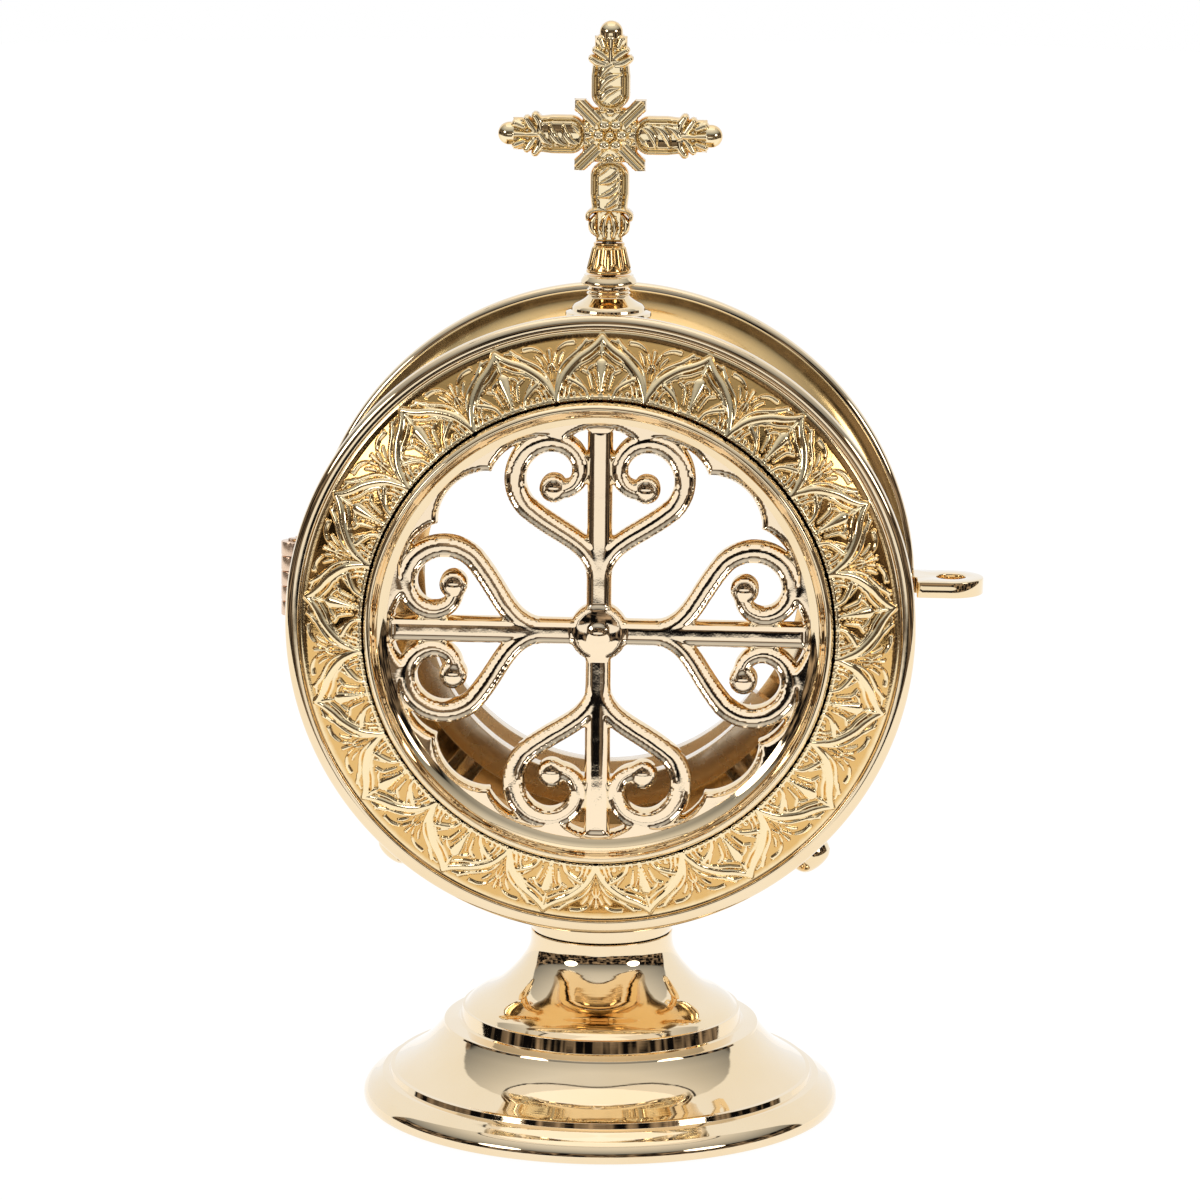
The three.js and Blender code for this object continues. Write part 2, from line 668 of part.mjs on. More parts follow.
const cradleFloor = cradleBore + cradleGroove;
const cradleOutside = cradleFloor + cradleWall;
const cradleFront = cradleOffset - cradleWidth / 2;
const cradleBack = cradleOffset + cradleWidth / 2;

// A turned piece that isn't a full circle has open ends, so the cradle is a full ring with a wedge
// taken out of it.
const cradleRing = turnedCase([
  [cradleBore, cradleFront], [cradleOutside, cradleFront],
  [cradleOutside, cradleBack], [cradleBore, cradleBack],
  [cradleBore, cradleBack - cradleSide], [cradleFloor, cradleBack - cradleSide],
  [cradleFloor, cradleFront + cradleSide], [cradleBore, cradleFront + cradleSide]], 1, hiddenSides);
const wedgeReach = 3 * cradleOutside;
const wedge = inFront(new THREE.Shape([
  new THREE.Vector2(0, 0),
  new THREE.Vector2(-wedgeReach * Math.sin(rad(cradleLeft)), -wedgeReach * Math.cos(rad(cradleLeft))),
  new THREE.Vector2(-wedgeReach, wedgeReach), new THREE.Vector2(wedgeReach, wedgeReach),
  new THREE.Vector2(wedgeReach * Math.sin(rad(cradleRight)), -wedgeReach * Math.cos(rad(cradleRight))),
]), -cradleBack - overrun, -cradleFront + overrun);

// Something that stands on the case's axis along a spoke, at an angle from the bottom.
function onSpoke(body, side) {
  return body.rotate([0, side * screwAngle, 0]).translate([0, screwOffset, axisHeight]);
}

const postFoot = cradleOutside - 0.4;
const postEnd = Math.sqrt(drumInside ** 2 - postRadius ** 2) - gap;
const threadHole = rod(screwShank + gap, -drumRadius, -(cradleFloor + 0.8));
const screwEnd = cradleFloor + 1.2;
const headFoot = drumRadius + screwSpacer;
const screwTip = headFoot + screwHeadHeight;
let cradle = cut(cradleRing, wedge);
let drum = cut(drumBody, boltHole);
for (const [side, name] of [[1, 'left'], [-1, 'right']]) {
  cradle = cut(cradle.add(onSpoke(rod(postRadius, -postEnd, -postFoot), side)), onSpoke(threadHole, side));
  drum = cut(drum, onSpoke(rod(screwShank + gap, -drumRadius - 2, -drumInside + 3), side));
  const head = turnedUp([[0, -screwTip], ...bend([screwHead * 0.35, -screwTip], [screwHead, -screwTip],
    [screwHead, -(headFoot + screwHeadHeight * 0.4)], 3), [screwHead, -headFoot], [0, -headFoot]], 18);
  const slot = box(-screwHead - overrun, screwHead + overrun, -screwSlot / 2, screwSlot / 2,
    -screwTip - overrun, -screwTip + screwSlotDepth);
  const blank = join(head, rod(screwShoulder, -headFoot - 0.5, -drumRadius - gap, 0, 0, 18),
    rod(screwShank, -drumRadius - 1, -screwEnd, 0, 0, 12));
  add(`cradle_screw_${name}`, onSpoke(cut(blank, slot), side), polished);
}
add('cradle_rail', cradle, satin);

// Finial: base plate, ringed neck, collar and fluted socket

const drumTop = axisHeight + drumRadius;
const baseTop = drumTop + finialSeat;
const neckFoot = baseTop + finialFlare;
const neckEnd = neckFoot + finialNeckHeight;
const finialHole = studRadius + gap;
const finialBasePiece = turnedUp(ringProfile([
  [finialBase - 0.4, drumTop - 1], [finialBase - 0.4, baseTop - 2 * finialLip],
  [finialBase, baseTop - 2 * finialLip], [finialBase, baseTop - finialLip],
  [finialBase - 1.1, baseTop - finialLip + 0.1], [finialBase - 1.2, baseTop],
  ...bend([finialBase - 1.5, baseTop + 0.2], [finialNeck, baseTop + 0.3], [finialNeck, neckFoot], 4),
  [finialNeck + 0.35, neckFoot + 0.4],
  [finialNeck, neckEnd - 1.0], [finialNeck + 0.3, neckEnd - 0.5], [finialNeck, neckEnd],
  [finialHole, neckEnd], [finialHole, drumTop - 1]]), smallSides);
add('finial_base', cut(finialBasePiece, drumForm), polished);

const collarLow = neckEnd + gap;
const collarHigh = collarLow + collarHeight;
add('finial_collar', turnedUp(ringProfile([
  [finialNeck + 0.5, collarLow],
  ...arc(collarRadius - collarHeight / 2, collarLow + collarHeight / 2, collarHeight / 2, -70, 70, 3),
  [socketBottom + 0.4, collarHigh], [finialHole, collarHigh], [finialHole, collarLow]]),
  smallSides), polished);

const socketLow = collarHigh + gap;
const socketHigh = socketLow + socketHeight;
const socketBlank = turnedUp(ringProfile([
  [socketBottom, socketLow], [socketBottom + 0.1, socketLow + 0.8], [socketTop, socketHigh - 0.8],
  [socketTop + 0.1, socketHigh], [finialHole, socketHigh], [finialHole, socketLow]]), smallSides);
let socket = socketBlank;
for (let i = 0; i < fluteCount; i++) {
  const a = 2 * Math.PI * (i + 0.5) / fluteCount;
  const lean = Math.atan((socketBottom - socketTop) / socketHeight);
  const flute = solid(new THREE.CylinderGeometry(0.55, 0.75, socketHeight - 1.8, 6)
    .rotateX(Math.PI / 2).rotateY(-lean)
    .translate((socketBottom + socketTop) / 2 + 0.6 - fluteDepth + 0.1, 0, (socketLow + socketHigh) / 2)
    .rotateZ(a));
  socket = socket.subtract(flute);
}
add('cross_socket', socket, cast);

// Cross, drawn in its own plane and thickened, with round tips, beads and a boss

const crossBottom = socketHigh + gap;
const crossCentre = socketHigh + crossFoot;
const lowerLength = crossCentre - crossBottom;

// One arm's outline on the right of its middle line, from the centre square out to the tip.
function armSide(length, beadAtLength, ending) {
  const points = [[centreHalf - centreCorner, centreHalf], [armHalf, centreHalf + 0.2],
    [armHalf + 0.1, beadAtLength - 2.0],
    [beadHalf - 0.9, beadAtLength - 1.5], [beadHalf, beadAtLength - 0.4],
    [beadHalf - 0.5, beadAtLength + 0.8]];
  if (ending === 'tip') {
    points.push([beadHalf - 1.0, beadAtLength + 1.3], [beadHalf - 1.3, beadAtLength + 2.4],
      [tipRadius * 0.8, length - 2 * tipRadius - 0.3]);
  } else {
    points.push([beadHalf - 0.9, beadAtLength + 1.6], [beadHalf - 0.6, beadAtLength + 2.8],
      [stemHalf, length - 1.2], [stemHalf, length]);
  }
  return points;
}

function crossOutline() {
  const outline = [];
  const arms = [[0, crossTop, beadPlace - 0.6, 'tip'], [90, crossArm, beadPlace, 'tip'],
    [180, lowerLength, beadPlace + 0.4, 'foot'], [270, crossArm, beadPlace, 'tip']];
  for (const [turn, length, beads, ending] of arms) {
    const side = armSide(length, beads, ending);
    const left = side.map(([w, l]) => [-w, l]);
    const right = [...side].reverse();
    const a = rad(turn);
    for (const [w, l] of [...left, ...right]) {
      outline.push(new THREE.Vector2(w * Math.cos(a) + l * Math.sin(a), -w * Math.sin(a) + l * Math.cos(a)));
    }
  }
  return new THREE.Shape(outline);
}

const crossBlank = new THREE.ExtrudeGeometry(crossOutline(), { depth: crossThickness, bevelEnabled: false });
const crossPlate = solid(crossBlank
  .rotateX(Math.PI / 2).translate(0, crossThickness / 2, crossCentre));
function ball(radius, x, z, stretchX, stretchZ) {
  const g = new THREE.SphereGeometry(radius, 12, 6).scale(stretchX, 1, stretchZ);
  return solid(g.translate(x, 0, crossCentre + z));
}
const longTip = 1.25;
const tipCentre = (length) => length - tipRadius * longTip;
const studHole = rod(studRadius + gap, crossBottom - overrun, crossBottom + studBite + overrun);
const cross = join(crossPlate,
  ball(tipRadius, 0, tipCentre(crossTop), 1, longTip),
  ball(tipRadius, tipCentre(crossArm), 0, longTip, 1),
  ball(tipRadius, -tipCentre(crossArm), 0, longTip, 1),
  solid(new THREE.CylinderGeometry(crossBoss, crossBoss, crossThickness + 1.6, 16)
    .translate(0, 0, crossCentre)));
add('cross', cut(cross, studHole), cast);

// Stud from the cross down through the finial, and its nut inside the drum

const studHigh = crossBottom + studBite;
const nutSeat = axisHeight + drumInside - gap;
const nutLow = nutSeat - finialNutHeight;
const finialNutRadius = finialNutWidth / Math.sqrt(3);
const nutDrop = drumInside - Math.sqrt(drumInside ** 2 - finialNutRadius ** 2);
add('cross_stud', rod(studRadius, nutLow - nutDrop - studEnd, studHigh, 0, 0, 12), steel);
add('cross_nut', cut(rod(finialNutRadius, nutLow - nutDrop, nutSeat - nutDrop, 0, 0, 6),
  rod(studRadius + gap, nutLow - nutDrop - overrun, nutSeat + overrun)), steel);
drum = cut(drum, rod(studRadius + gap, drumTop - drumWall - overrun, drumTop + overrun));
add('case_drum', drum, polished);

export default model;
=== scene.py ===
# %% [markdown]
# # A gilt case for a lunette
# A custodial is a round brass case on a turned foot. The lunette stands inside it, and a small
# cross stands on top. Nearly all of it is spun or cast brass that was gilded and polished, so the
# render lives from smooth turned forms, crisp relief and what the metal mirrors.
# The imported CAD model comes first. It is the frame that every piece here must fit.

# %% Load the frame
import math

import bpy
import numpy as np
from mathutils import Matrix, Vector


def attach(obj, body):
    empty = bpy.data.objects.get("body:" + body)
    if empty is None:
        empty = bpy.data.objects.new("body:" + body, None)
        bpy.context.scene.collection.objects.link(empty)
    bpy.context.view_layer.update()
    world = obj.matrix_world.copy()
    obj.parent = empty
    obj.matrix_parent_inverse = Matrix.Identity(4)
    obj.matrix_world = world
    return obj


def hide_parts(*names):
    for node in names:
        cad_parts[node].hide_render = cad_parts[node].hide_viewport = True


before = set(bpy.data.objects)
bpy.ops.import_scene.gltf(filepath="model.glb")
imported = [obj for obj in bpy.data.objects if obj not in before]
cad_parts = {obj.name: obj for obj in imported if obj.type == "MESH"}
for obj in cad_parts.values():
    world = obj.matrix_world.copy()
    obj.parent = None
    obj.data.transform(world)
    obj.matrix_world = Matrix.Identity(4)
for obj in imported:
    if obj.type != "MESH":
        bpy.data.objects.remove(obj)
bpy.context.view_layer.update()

# %% [markdown]
# Sizes are thought of in millimetres and the scene is in metres, so one factor turns one into the
# other. The case is turned round a level axis that runs from front to back. The foot and the cross
# stand on the upright axis.

# %% Sizes that all pieces share
MM = 0.001
AXIS = 92.6              # height of the case's axis
case_middle = Vector((0, 0, AXIS * MM))

# %% [markdown]
# ## Camera
# A long lens about a metre away looks a little down on the case and a little from its right. The
# object leans by half a degree in the picture, so the camera is rolled by as much.

# %% Camera
camera_data = bpy.data.cameras.new("camera")
camera_data.sensor_width = 36
camera_data.lens = 169.2
camera_data.clip_start, camera_data.clip_end = 0.05, 20
camera = bpy.data.objects.new("camera", camera_data)
bpy.context.scene.collection.objects.link(camera)
bpy.context.scene.camera = camera
camera_place = Vector((46.1, -998.3, 297.1)) * MM
camera_aim = Vector((0, -20.5, 97.5)) * MM
camera_roll = math.radians(0.6)
turn = (camera_aim - camera_place).to_track_quat("-Z", "Y").to_matrix() @ Matrix.Rotation(camera_roll, 3, "Z")
camera.matrix_world = Matrix.Translation(camera_place) @ turn.to_4x4()
print("camera is", round((camera_aim - camera_place).length, 3), "m away")

# %% [markdown]
# ## Nodes and colours
# One helper adds a shader node with its settings, values and links, where a node that is given as
# a value stands for its first output. Another turns a colour as it is written for a screen into
# the linear values that the shader works with, and a third starts a material with no nodes.

# %% Colours and shader nodes
def linear(code):
    channels = [int(code[i:i + 2], 16) / 255 for i in (1, 3, 5)]
    return tuple(c / 12.92 if c <= 0.04045 else ((c + 0.055) / 1.055) ** 2.4 for c in channels) + (1.0,)


def node(tree, kind, inputs=None, **settings):
    made = tree.nodes.new("ShaderNode" + kind)
    for name, value in settings.items():
        setattr(made, name, value)
    for name, value in (inputs or {}).items():
        if isinstance(value, bpy.types.Node):
            value = value.outputs[0]
        if isinstance(value, bpy.types.NodeSocket):
            tree.links.new(value, made.inputs[name])
        else:
            made.inputs[name].default_value = value
    return made


def new_finish(name):
    finish = bpy.data.materials.new(name)
    finish.use_nodes = True
    finish.node_tree.nodes.clear()
    return finish, finish.node_tree


print("linear white", linear("#FFFFFF"))

# %% [markdown]
# ## Studio
# Polished metal shows its surroundings more than its own colour. The photograph was taken on a white
# sweep that closes round the back and the sides. In front lies a dark room, a grey wall rises above
# it, and a pale cover hangs over all. A low white card in front brightens the flat faces. The
# upright edges of the sweep draw the sharp dark and bright zones on every turned form, so they are
# kept sharp here. The camera sees the world as plain white.

# %% Directions round the object
bpy.context.scene.view_settings.view_transform = "Standard"
world = bpy.data.worlds.new("white_tent")
bpy.context.scene.world = world
world.use_nodes = True
tree = world.node_tree
tree.nodes.clear()
direction = node(tree, "TexCoord").outputs["Generated"]
towards = node(tree, "SeparateXYZ", {0: direction})
ahead = node(tree, "Math", {0: towards.outputs["Y"], 1: -1.0}, operation="MULTIPLY")
round_angle = node(tree, "Math", {0: towards.outputs["X"], 1: ahead}, operation="ARCTAN2")
aside = node(tree, "Math", {0: round_angle}, operation="ABSOLUTE")
raised = node(tree, "Math", {0: towards.outputs["Z"]}, operation="ARCSINE")
print("directions take", len(tree.nodes), "nodes")

# %% [markdown]
# The dark room is blocks and streaks of noise. They are drawn out sideways, because a room has more
# level lines than upright ones. The grey wall gets paler as it climbs.

# %% Dark room and grey wall
DEGREE = math.radians(1)
STREAKS = (3.0, 3.0, 14.0)
long_way = node(tree, "VectorMath", {0: direction, 1: STREAKS}, operation="MULTIPLY")
clutter = node(tree, "TexNoise", {"Vector": long_way, "Scale": 1.0, "Detail": 4.0})
blocks = node(tree, "TexVoronoi", {"Vector": direction, "Scale": 9.0}, distance="CHEBYCHEV")
mottled = node(tree, "Math", {0: clutter, 1: blocks}, operation="MULTIPLY")
patches = node(tree, "MapRange", {"Value": mottled, "From Min": 0.17, "From Max": 0.42})
murk = node(tree, "Mix", {0: patches, 6: linear("#0D0C0E"), 7: linear("#B9A48E")},
            data_type="RGBA")
WALL_LOW, WALL_HIGH = 24 * DEGREE, 58 * DEGREE
climb = node(tree, "MapRange", {"Value": raised, "From Min": WALL_LOW, "From Max": WALL_HIGH})
wall = node(tree, "Mix", {0: climb, 6: linear("#84878A"), 7: linear("#E4E4E4")},
            data_type="RGBA")

# %% [markdown]
# The layers lie above each other: the room, the wall, a dark line and the cover. Each begins at its
# own height, and the cover's edge is highest straight ahead and falls towards the sides. The low
# white card is a flat ellipse of light in front of the object.

# %% Layers and card
SAG = 11 * DEGREE                    # how far the cover's edge falls
sideways = node(tree, "Math", {0: round_angle}, operation="COSINE")
squared = node(tree, "Math", {0: sideways, 1: sideways}, operation="MULTIPLY")
arched = node(tree, "Math", {0: squared, 1: -SAG, 2: raised}, operation="MULTIPLY_ADD")
room = murk.outputs[2]
for measure, low, high, colour in (
        (raised, 22, 26, wall.outputs[2]),
        (arched, 57.4, 57.8, linear("#3E3C3C")),
        (arched, 58.4, 58.8, linear("#F4F1EE"))):
    share = node(tree, "MapRange", {"Value": measure, "From Min": low * DEGREE,
                 "From Max": high * DEGREE}, interpolation_type="SMOOTHSTEP")
    room = node(tree, "Mix", {0: share, 6: room, 7: colour}, data_type="RGBA").outputs[2]

CARD_ROUND, CARD_RAISED = -3 * DEGREE, -7.4 * DEGREE
CARD_IN, CARD_OUT = 3.8 * DEGREE, 4.8 * DEGREE
CARD_WIDTH = 5                       # times its height
across = node(tree, "Math", {0: round_angle, 1: CARD_ROUND}, operation="SUBTRACT")
down = node(tree, "Math", {0: raised, 1: CARD_RAISED}, operation="SUBTRACT")
narrowed = node(tree, "Math", {0: across, 1: 1 / CARD_WIDTH}, operation="MULTIPLY")
flat = node(tree, "CombineXYZ", {"X": narrowed, "Y": down})
away = node(tree, "VectorMath", {0: flat}, operation="LENGTH").outputs["Value"]
share = node(tree, "MapRange", {"Value": away, "From Min": CARD_OUT, "From Max": CARD_IN},
             interpolation_type="SMOOTHSTEP")
room = node(tree, "Mix", {0: share, 6: room, 7: linear("#FCFDFF")}, data_type="RGBA").outputs[2]

# %% [markdown]
# Beside and behind the object the white sweep closes the room off. Is Camera Ray keeps the
# background plain white in the picture, while the metal still mirrors the room.

# %% Sweep and background
SWEEP_EDGE, OPEN_EDGE = 116 * DEGREE, 114 * DEGREE
opening = node(tree, "MapRange", {"Value": aside, "From Min": SWEEP_EDGE, "From Max": OPEN_EDGE},
               interpolation_type="SMOOTHSTEP")
tent = node(tree, "Mix", {0: opening, 6: linear("#FAFCFF"), 7: room}, data_type="RGBA")
path = node(tree, "LightPath")
seen = node(tree, "Mix", {0: path.outputs["Is Camera Ray"], 6: tent.outputs[2], 7: (1, 1, 1, 1)},
            data_type="RGBA")
light = node(tree, "Background", {"Color": seen.outputs[2], "Strength": 1.0})
node(tree, "OutputWorld", {"Surface": light})
print("world has", len(tree.nodes), "nodes")

# %% [markdown]
# Two softboxes stand in the room to the left and right of the camera, where the neck of the foot
# mirrors them as two bright spots. A third one above gives a soft shadow under the foot.

# %% Lamps
for name, place, aim_high, width, height, power in (
        ("softbox_left", (-1.11, -1.03, 0.61), 0.09, 0.6, 0.42, 2.8),
        ("softbox_right", (1.25, -0.88, 0.57), 0.09, 0.6, 0.42, 2.8),
        ("softbox_top", (0.0, 0.1, 1.3), 0.1, 1.2, 1.2, 1.0)):
    lamp = bpy.data.lights.new(name, "AREA")
    lamp.shape = "ELLIPSE"
    lamp.size, lamp.size_y, lamp.energy = width, height, power
    box = bpy.data.objects.new(name, lamp)
    bpy.context.scene.collection.objects.link(box)
    box.location = place
    box.rotation_euler = (Vector((0, 0, aim_high)) - Vector(place)).to_track_quat("-Z", "Y").to_euler()

# %% [markdown]
# The floor is a white sheet. To the camera and in the metal it is mostly plain white, and a part
# of it is lit, so that it keeps a soft shadow.

# %% Floor
bpy.ops.object.select_all(action="DESELECT")
bpy.ops.mesh.primitive_circle_add(vertices=96, radius=1.1, fill_type="NGON", location=(0, 0.8, 0))
floor = bpy.context.object
floor.name = "floor"
paper, tree = new_finish("white_paper_sheet")
path = node(tree, "LightPath")
seen = node(tree, "Math", {0: path.outputs["Is Camera Ray"], 1: path.outputs["Is Glossy Ray"]},
            operation="MAXIMUM")
PLAIN_SHARE = 0.84
share = node(tree, "Math", {0: seen, 1: PLAIN_SHARE}, operation="MULTIPLY")
matt = node(tree, "BsdfDiffuse", {"Color": linear("#F2F2F2")})
plain = node(tree, "Emission", {"Color": (1, 1, 1, 1), "Strength": 1.1})
mixed = node(tree, "MixShader", {0: share, 1: matt, 2: plain})
node(tree, "OutputMaterial", {"Surface": mixed})
floor.data.materials.append(paper)

# %% [markdown]
# ## Finishes
# Gilt brass: brass with a thin layer of gold, buffed to a mirror. It gives the eye a pale warm
# yellow, a sharp reflection and the faint unevenness of a hand-held buff. The spun parts keep very
# fine rings from the lathe. The cast parts are a little softer, and they are painted a deeper gold in
# their low ground and near their edges as shade. The inside is satin and a little browner. Its colour
# is painted paler to stand in for the light that hardly reaches into the drum.

# %% Polished gilt brass
def gilt_brass(name, pale, deep, roughness, grain_mm, coat=0.5, wave_mm=0.003):
    finish, tree = new_finish(name)
    place = node(tree, "TexCoord").outputs["Object"]
    cloud = node(tree, "TexNoise", {"Vector": place, "Scale": 1 / (18 * MM), "Detail": 3.0})
    colour = node(tree, "Mix", {0: cloud, 6: linear(pale), 7: linear(deep)}, data_type="RGBA")
    wear = node(tree, "TexNoise", {"Vector": place, "Scale": 1 / (2.5 * MM), "Detail": 6.0})
    gloss = node(tree, "MapRange", {"Value": wear, "From Min": 0.3, "From Max": 0.7,
                 "To Min": roughness[0], "To Max": roughness[1]})
    buff = node(tree, "TexNoise", {"Vector": place, "Scale": 1 / (grain_mm * MM), "Detail": 2.0})
    bump = node(tree, "Bump", {"Height": buff, "Strength": 1.0, "Distance": wave_mm * MM})
    shader = node(tree, "BsdfPrincipled", {
        "Base Color": colour.outputs[2], "Metallic": 1.0, "Roughness": gloss, "Normal": bump,
        "Coat Weight": coat, "Coat Roughness": 0.03})
    node(tree, "OutputMaterial", {"Surface": shader})
    return finish


gilt = gilt_brass("gilt_brass_polished", "#F8E5C2", "#F0D5A6", (0.02, 0.06), 4.0, 0.9, 0.004)
gilt_satin = gilt_brass("gilt_brass_satin", "#EED6B0", "#D6B588", (0.26, 0.38), 1.2)
pink_brass = gilt_brass("copper_rich_brass_brushed", "#F6DCC4", "#EBC6A6", (0.24, 0.34), 0.8)
zinc_steel = gilt_brass("zinc_plated_steel", "#B9B9B4", "#9E9E9A", (0.26, 0.4), 0.9, 0.0)
print("finishes", [m.name for m in (gilt, gilt_satin, pink_brass, zinc_steel)])

# %% [markdown]
# Spun brass shows the tool in hair-fine rings. The rings follow the axis that the part was turned
# round, so the noise reads one number only: the distance along the upright axis, or along the
# case's axis, or from the case's axis.

# %% Spun gilt brass
def spun_brass(name, along, pale="#F8E5C4", deep="#F0D5A8", roughness=(0.02, 0.06), ring_mm=0.35,
               depth_mm=0.0012):
    finish = gilt_brass(name, pale, deep, roughness, 5.0, 0.9, 0.004)
    tree = finish.node_tree
    place = node(tree, "TexCoord").outputs["Object"]
    if along == "radius":
        moved = node(tree, "VectorMath", {0: place, 1: (0, 0, AXIS * MM)}, operation="SUBTRACT")
        flat = node(tree, "VectorMath", {0: moved, 1: (1, 0, 1)}, operation="MULTIPLY")
        number = node(tree, "VectorMath", {0: flat}, operation="LENGTH").outputs["Value"]
    else:
        number = node(tree, "SeparateXYZ", {0: place}).outputs["Z" if along == "up" else "Y"]
    rings = node(tree, "TexNoise", {"W": number, "Scale": 1 / (ring_mm * MM), "Detail": 3.0},
                 noise_dimensions="1D")
    shader = next(n for n in tree.nodes if n.type == "BSDF_PRINCIPLED")
    buffed = next(n for n in tree.nodes if n.type == "BUMP")
    lines = node(tree, "Bump", {"Height": rings, "Strength": 1.0, "Distance": depth_mm * MM,
                 "Normal": buffed})
    tree.links.new(lines.outputs[0], shader.inputs["Normal"])
    return finish


spun_up = spun_brass("gilt_brass_spun_foot", "up")
spun_case = spun_brass("gilt_brass_spun_drum", "case", "#F6D698", "#E9BC74", (0.16, 0.26), 0.6, 0.002)
spun_face = spun_brass("gilt_brass_spun_face", "radius")
# painted light: the inside's colour is made paler to stand in for the light that hardly reaches into the drum
satin_inside_painted_paler = spun_brass("gilt_brass_satin_inside_painted_paler", "case", "#F2DEC0", "#DDC29A", (0.2, 0.32), 0.9, 0.004)

# %% [markdown]
# Cast and chased brass: the relief carries its own depth in an attribute, 0 in the ground and 1 on
# the ridges. The ground is painted a deeper gold as shade in the recesses and near the edges, and
# the ridges are paler. Each has a roughness of its own.

# %% Cast gilt brass
def cast_brass(name, ridge, ground, ridge_rough, ground_rough, wave_mm, pit_mm):
    finish, tree = new_finish(name)
    place = node(tree, "TexCoord").outputs["Object"]
    depth = node(tree, "Attribute", attribute_name="depth").outputs["Fac"]
    worn = node(tree, "TexNoise", {"Vector": place, "Scale": 1 / (1.4 * MM), "Detail": 5.0})
    # painted shade: the depth, with a little random tone, makes the low ground and the edges a deeper gold
    uneven = node(tree, "Math", {0: worn, 1: 0.35, 2: depth}, operation="MULTIPLY_ADD")
    level = node(tree, "MapRange", {"Value": uneven, "From Min": 0.2, "From Max": 0.75})
    colour = node(tree, "Mix", {0: level, 6: linear(ground), 7: linear(ridge)}, data_type="RGBA")
    gloss = node(tree, "MapRange", {"Value": level, "To Min": ground_rough,
                 "To Max": ridge_rough})
    pits = node(tree, "TexNoise", {"Vector": place, "Scale": 1 / (0.35 * MM), "Detail": 4.0})
    buff = node(tree, "TexNoise", {"Vector": place, "Scale": 1 / (4.0 * MM), "Detail": 1.0})
    waves = node(tree, "Bump", {"Height": buff, "Strength": 1.0, "Distance": wave_mm * MM})
    bump = node(tree, "Bump", {"Height": pits, "Strength": 1.0, "Distance": pit_mm * MM,
                "Normal": waves})
    shader = node(tree, "BsdfPrincipled", {
        "Base Color": colour.outputs[2], "Metallic": 1.0, "Roughness": gloss, "Normal": bump,
        "Coat Weight": 0.5, "Coat Roughness": 0.03})
    node(tree, "OutputMaterial", {"Surface": shader})
    return finish


# the second colour of each finish is the painted shade of the low ground and the edges
gilt_cast = cast_brass("gilt_brass_cast_band", "#FCE6B8", "#E2B66E", 0.09, 0.06, 0.0, 0.012)
gilt_plate = cast_brass("gilt_brass_cast_plate", "#FBE5C4", "#F6D9A6", 0.03, 0.08, 0.025, 0.002)
gilt_cross = cast_brass("gilt_brass_cast_cross", "#FBE7BC", "#EEC786", 0.04, 0.12, 0.0, 0.004)

# %% [markdown]
# Felt: pressed wool fibres, matt and dark red, with a soft sheen at the edge.

# %% Felt
felt, tree = new_finish("wool_felt_dark_red")
place = node(tree, "TexCoord").outputs["Object"]
fibres = node(tree, "TexNoise", {"Vector": place, "Scale": 1 / (0.5 * MM), "Detail": 8.0})
wool = node(tree, "Mix", {0: fibres, 6: linear("#3E1219"), 7: linear("#7A2C38")},
            data_type="RGBA")
fuzz = node(tree, "Bump", {"Height": fibres, "Strength": 1.0, "Distance": 0.1 * MM})
cloth = node(tree, "BsdfPrincipled", {
    "Base Color": wool.outputs[2], "Roughness": 0.95, "Sheen Weight": 0.4, "Normal": fuzz})
node(tree, "OutputMaterial", {"Surface": cloth})
print("felt", len(tree.nodes), "nodes")

# %% [markdown]
# ## Turned pieces
# A turner works to a drawn half section. The section is a closed line of points, each a radius, a
# height and the size of the round on that corner; a very large round makes the line flow through
# the middles of its sides.

# %% Rounded half sections
FLOW = 99                # a round so large that the line becomes a flowing curve
NEARLY_FLAT = math.radians(89.5)     # half the angle of a corner that needs no round
SAME_POINT = 1e-4        # mm


def rounded(section, steps=4):
    line = []
    for i, corner in enumerate(section):
        here = Vector(corner[:2])
        size = corner[2] if len(corner) > 2 else 0
        if not size:
            line.append(here)
            continue
        back, on = Vector(section[i - 1][:2]) - here, Vector(section[(i + 1) % len(section)][:2]) - here
        half = back.angle(on) / 2
        if half > NEARLY_FLAT:
            line.append(here)
            continue
        reach = min(size / math.tan(half), 0.5 * back.length, 0.5 * on.length)
        first, last = here + back.normalized() * reach, here + on.normalized() * reach
        for k in range(steps + 1):
            t = k / steps
            line.append((1 - t) ** 2 * first + 2 * t * (1 - t) * here + t ** 2 * last)
    return [p for i, p in enumerate(line) if (p - line[i - 1]).length > SAME_POINT]


square = [(0, 0, FLOW), (4, 0, FLOW), (4, 4, FLOW), (0, 4, FLOW)]
print("a square that flows into a round one has", len(rounded(square)), "points")

# %% [markdown]
# Every finished piece goes through the same last steps. Its place is applied, its faces are smoothed
# up to an angle, and it gets its name, its finish, the body that it rides on and the CAD nodes that
# it stands for.

# %% Last steps of a piece
def pick(*pieces):
    bpy.ops.object.select_all(action="DESELECT")
    for piece in pieces:
        piece.select_set(True)
    bpy.context.view_layer.objects.active = pieces[0]


def settle(piece, name, body, finish, slot, *nodes, smooth=32):
    piece.name = piece.data.name = name
    pick(piece)
    bpy.ops.object.transform_apply()
    bpy.ops.object.shade_smooth_by_angle(angle=math.radians(smooth))
    if not piece.data.materials:
        piece.data.materials.append(finish)
    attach(piece, body)
    if nodes:
        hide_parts(*nodes)
    print(name, "faces", len(piece.data.polygons))

# %% [markdown]
# A circle of vertices is laid on the half section and spun once round the axis, as on a lathe. The
# doubles at the seam are merged before the faces are turned outwards. A piece that is only a part
# of a ring gets its two ends filled.

# %% Spinning
SEAM = 2e-6              # metres; the two ends of a full turn meet within this
UPRIGHT, LEVEL = True, False         # the axis that a piece is spun round


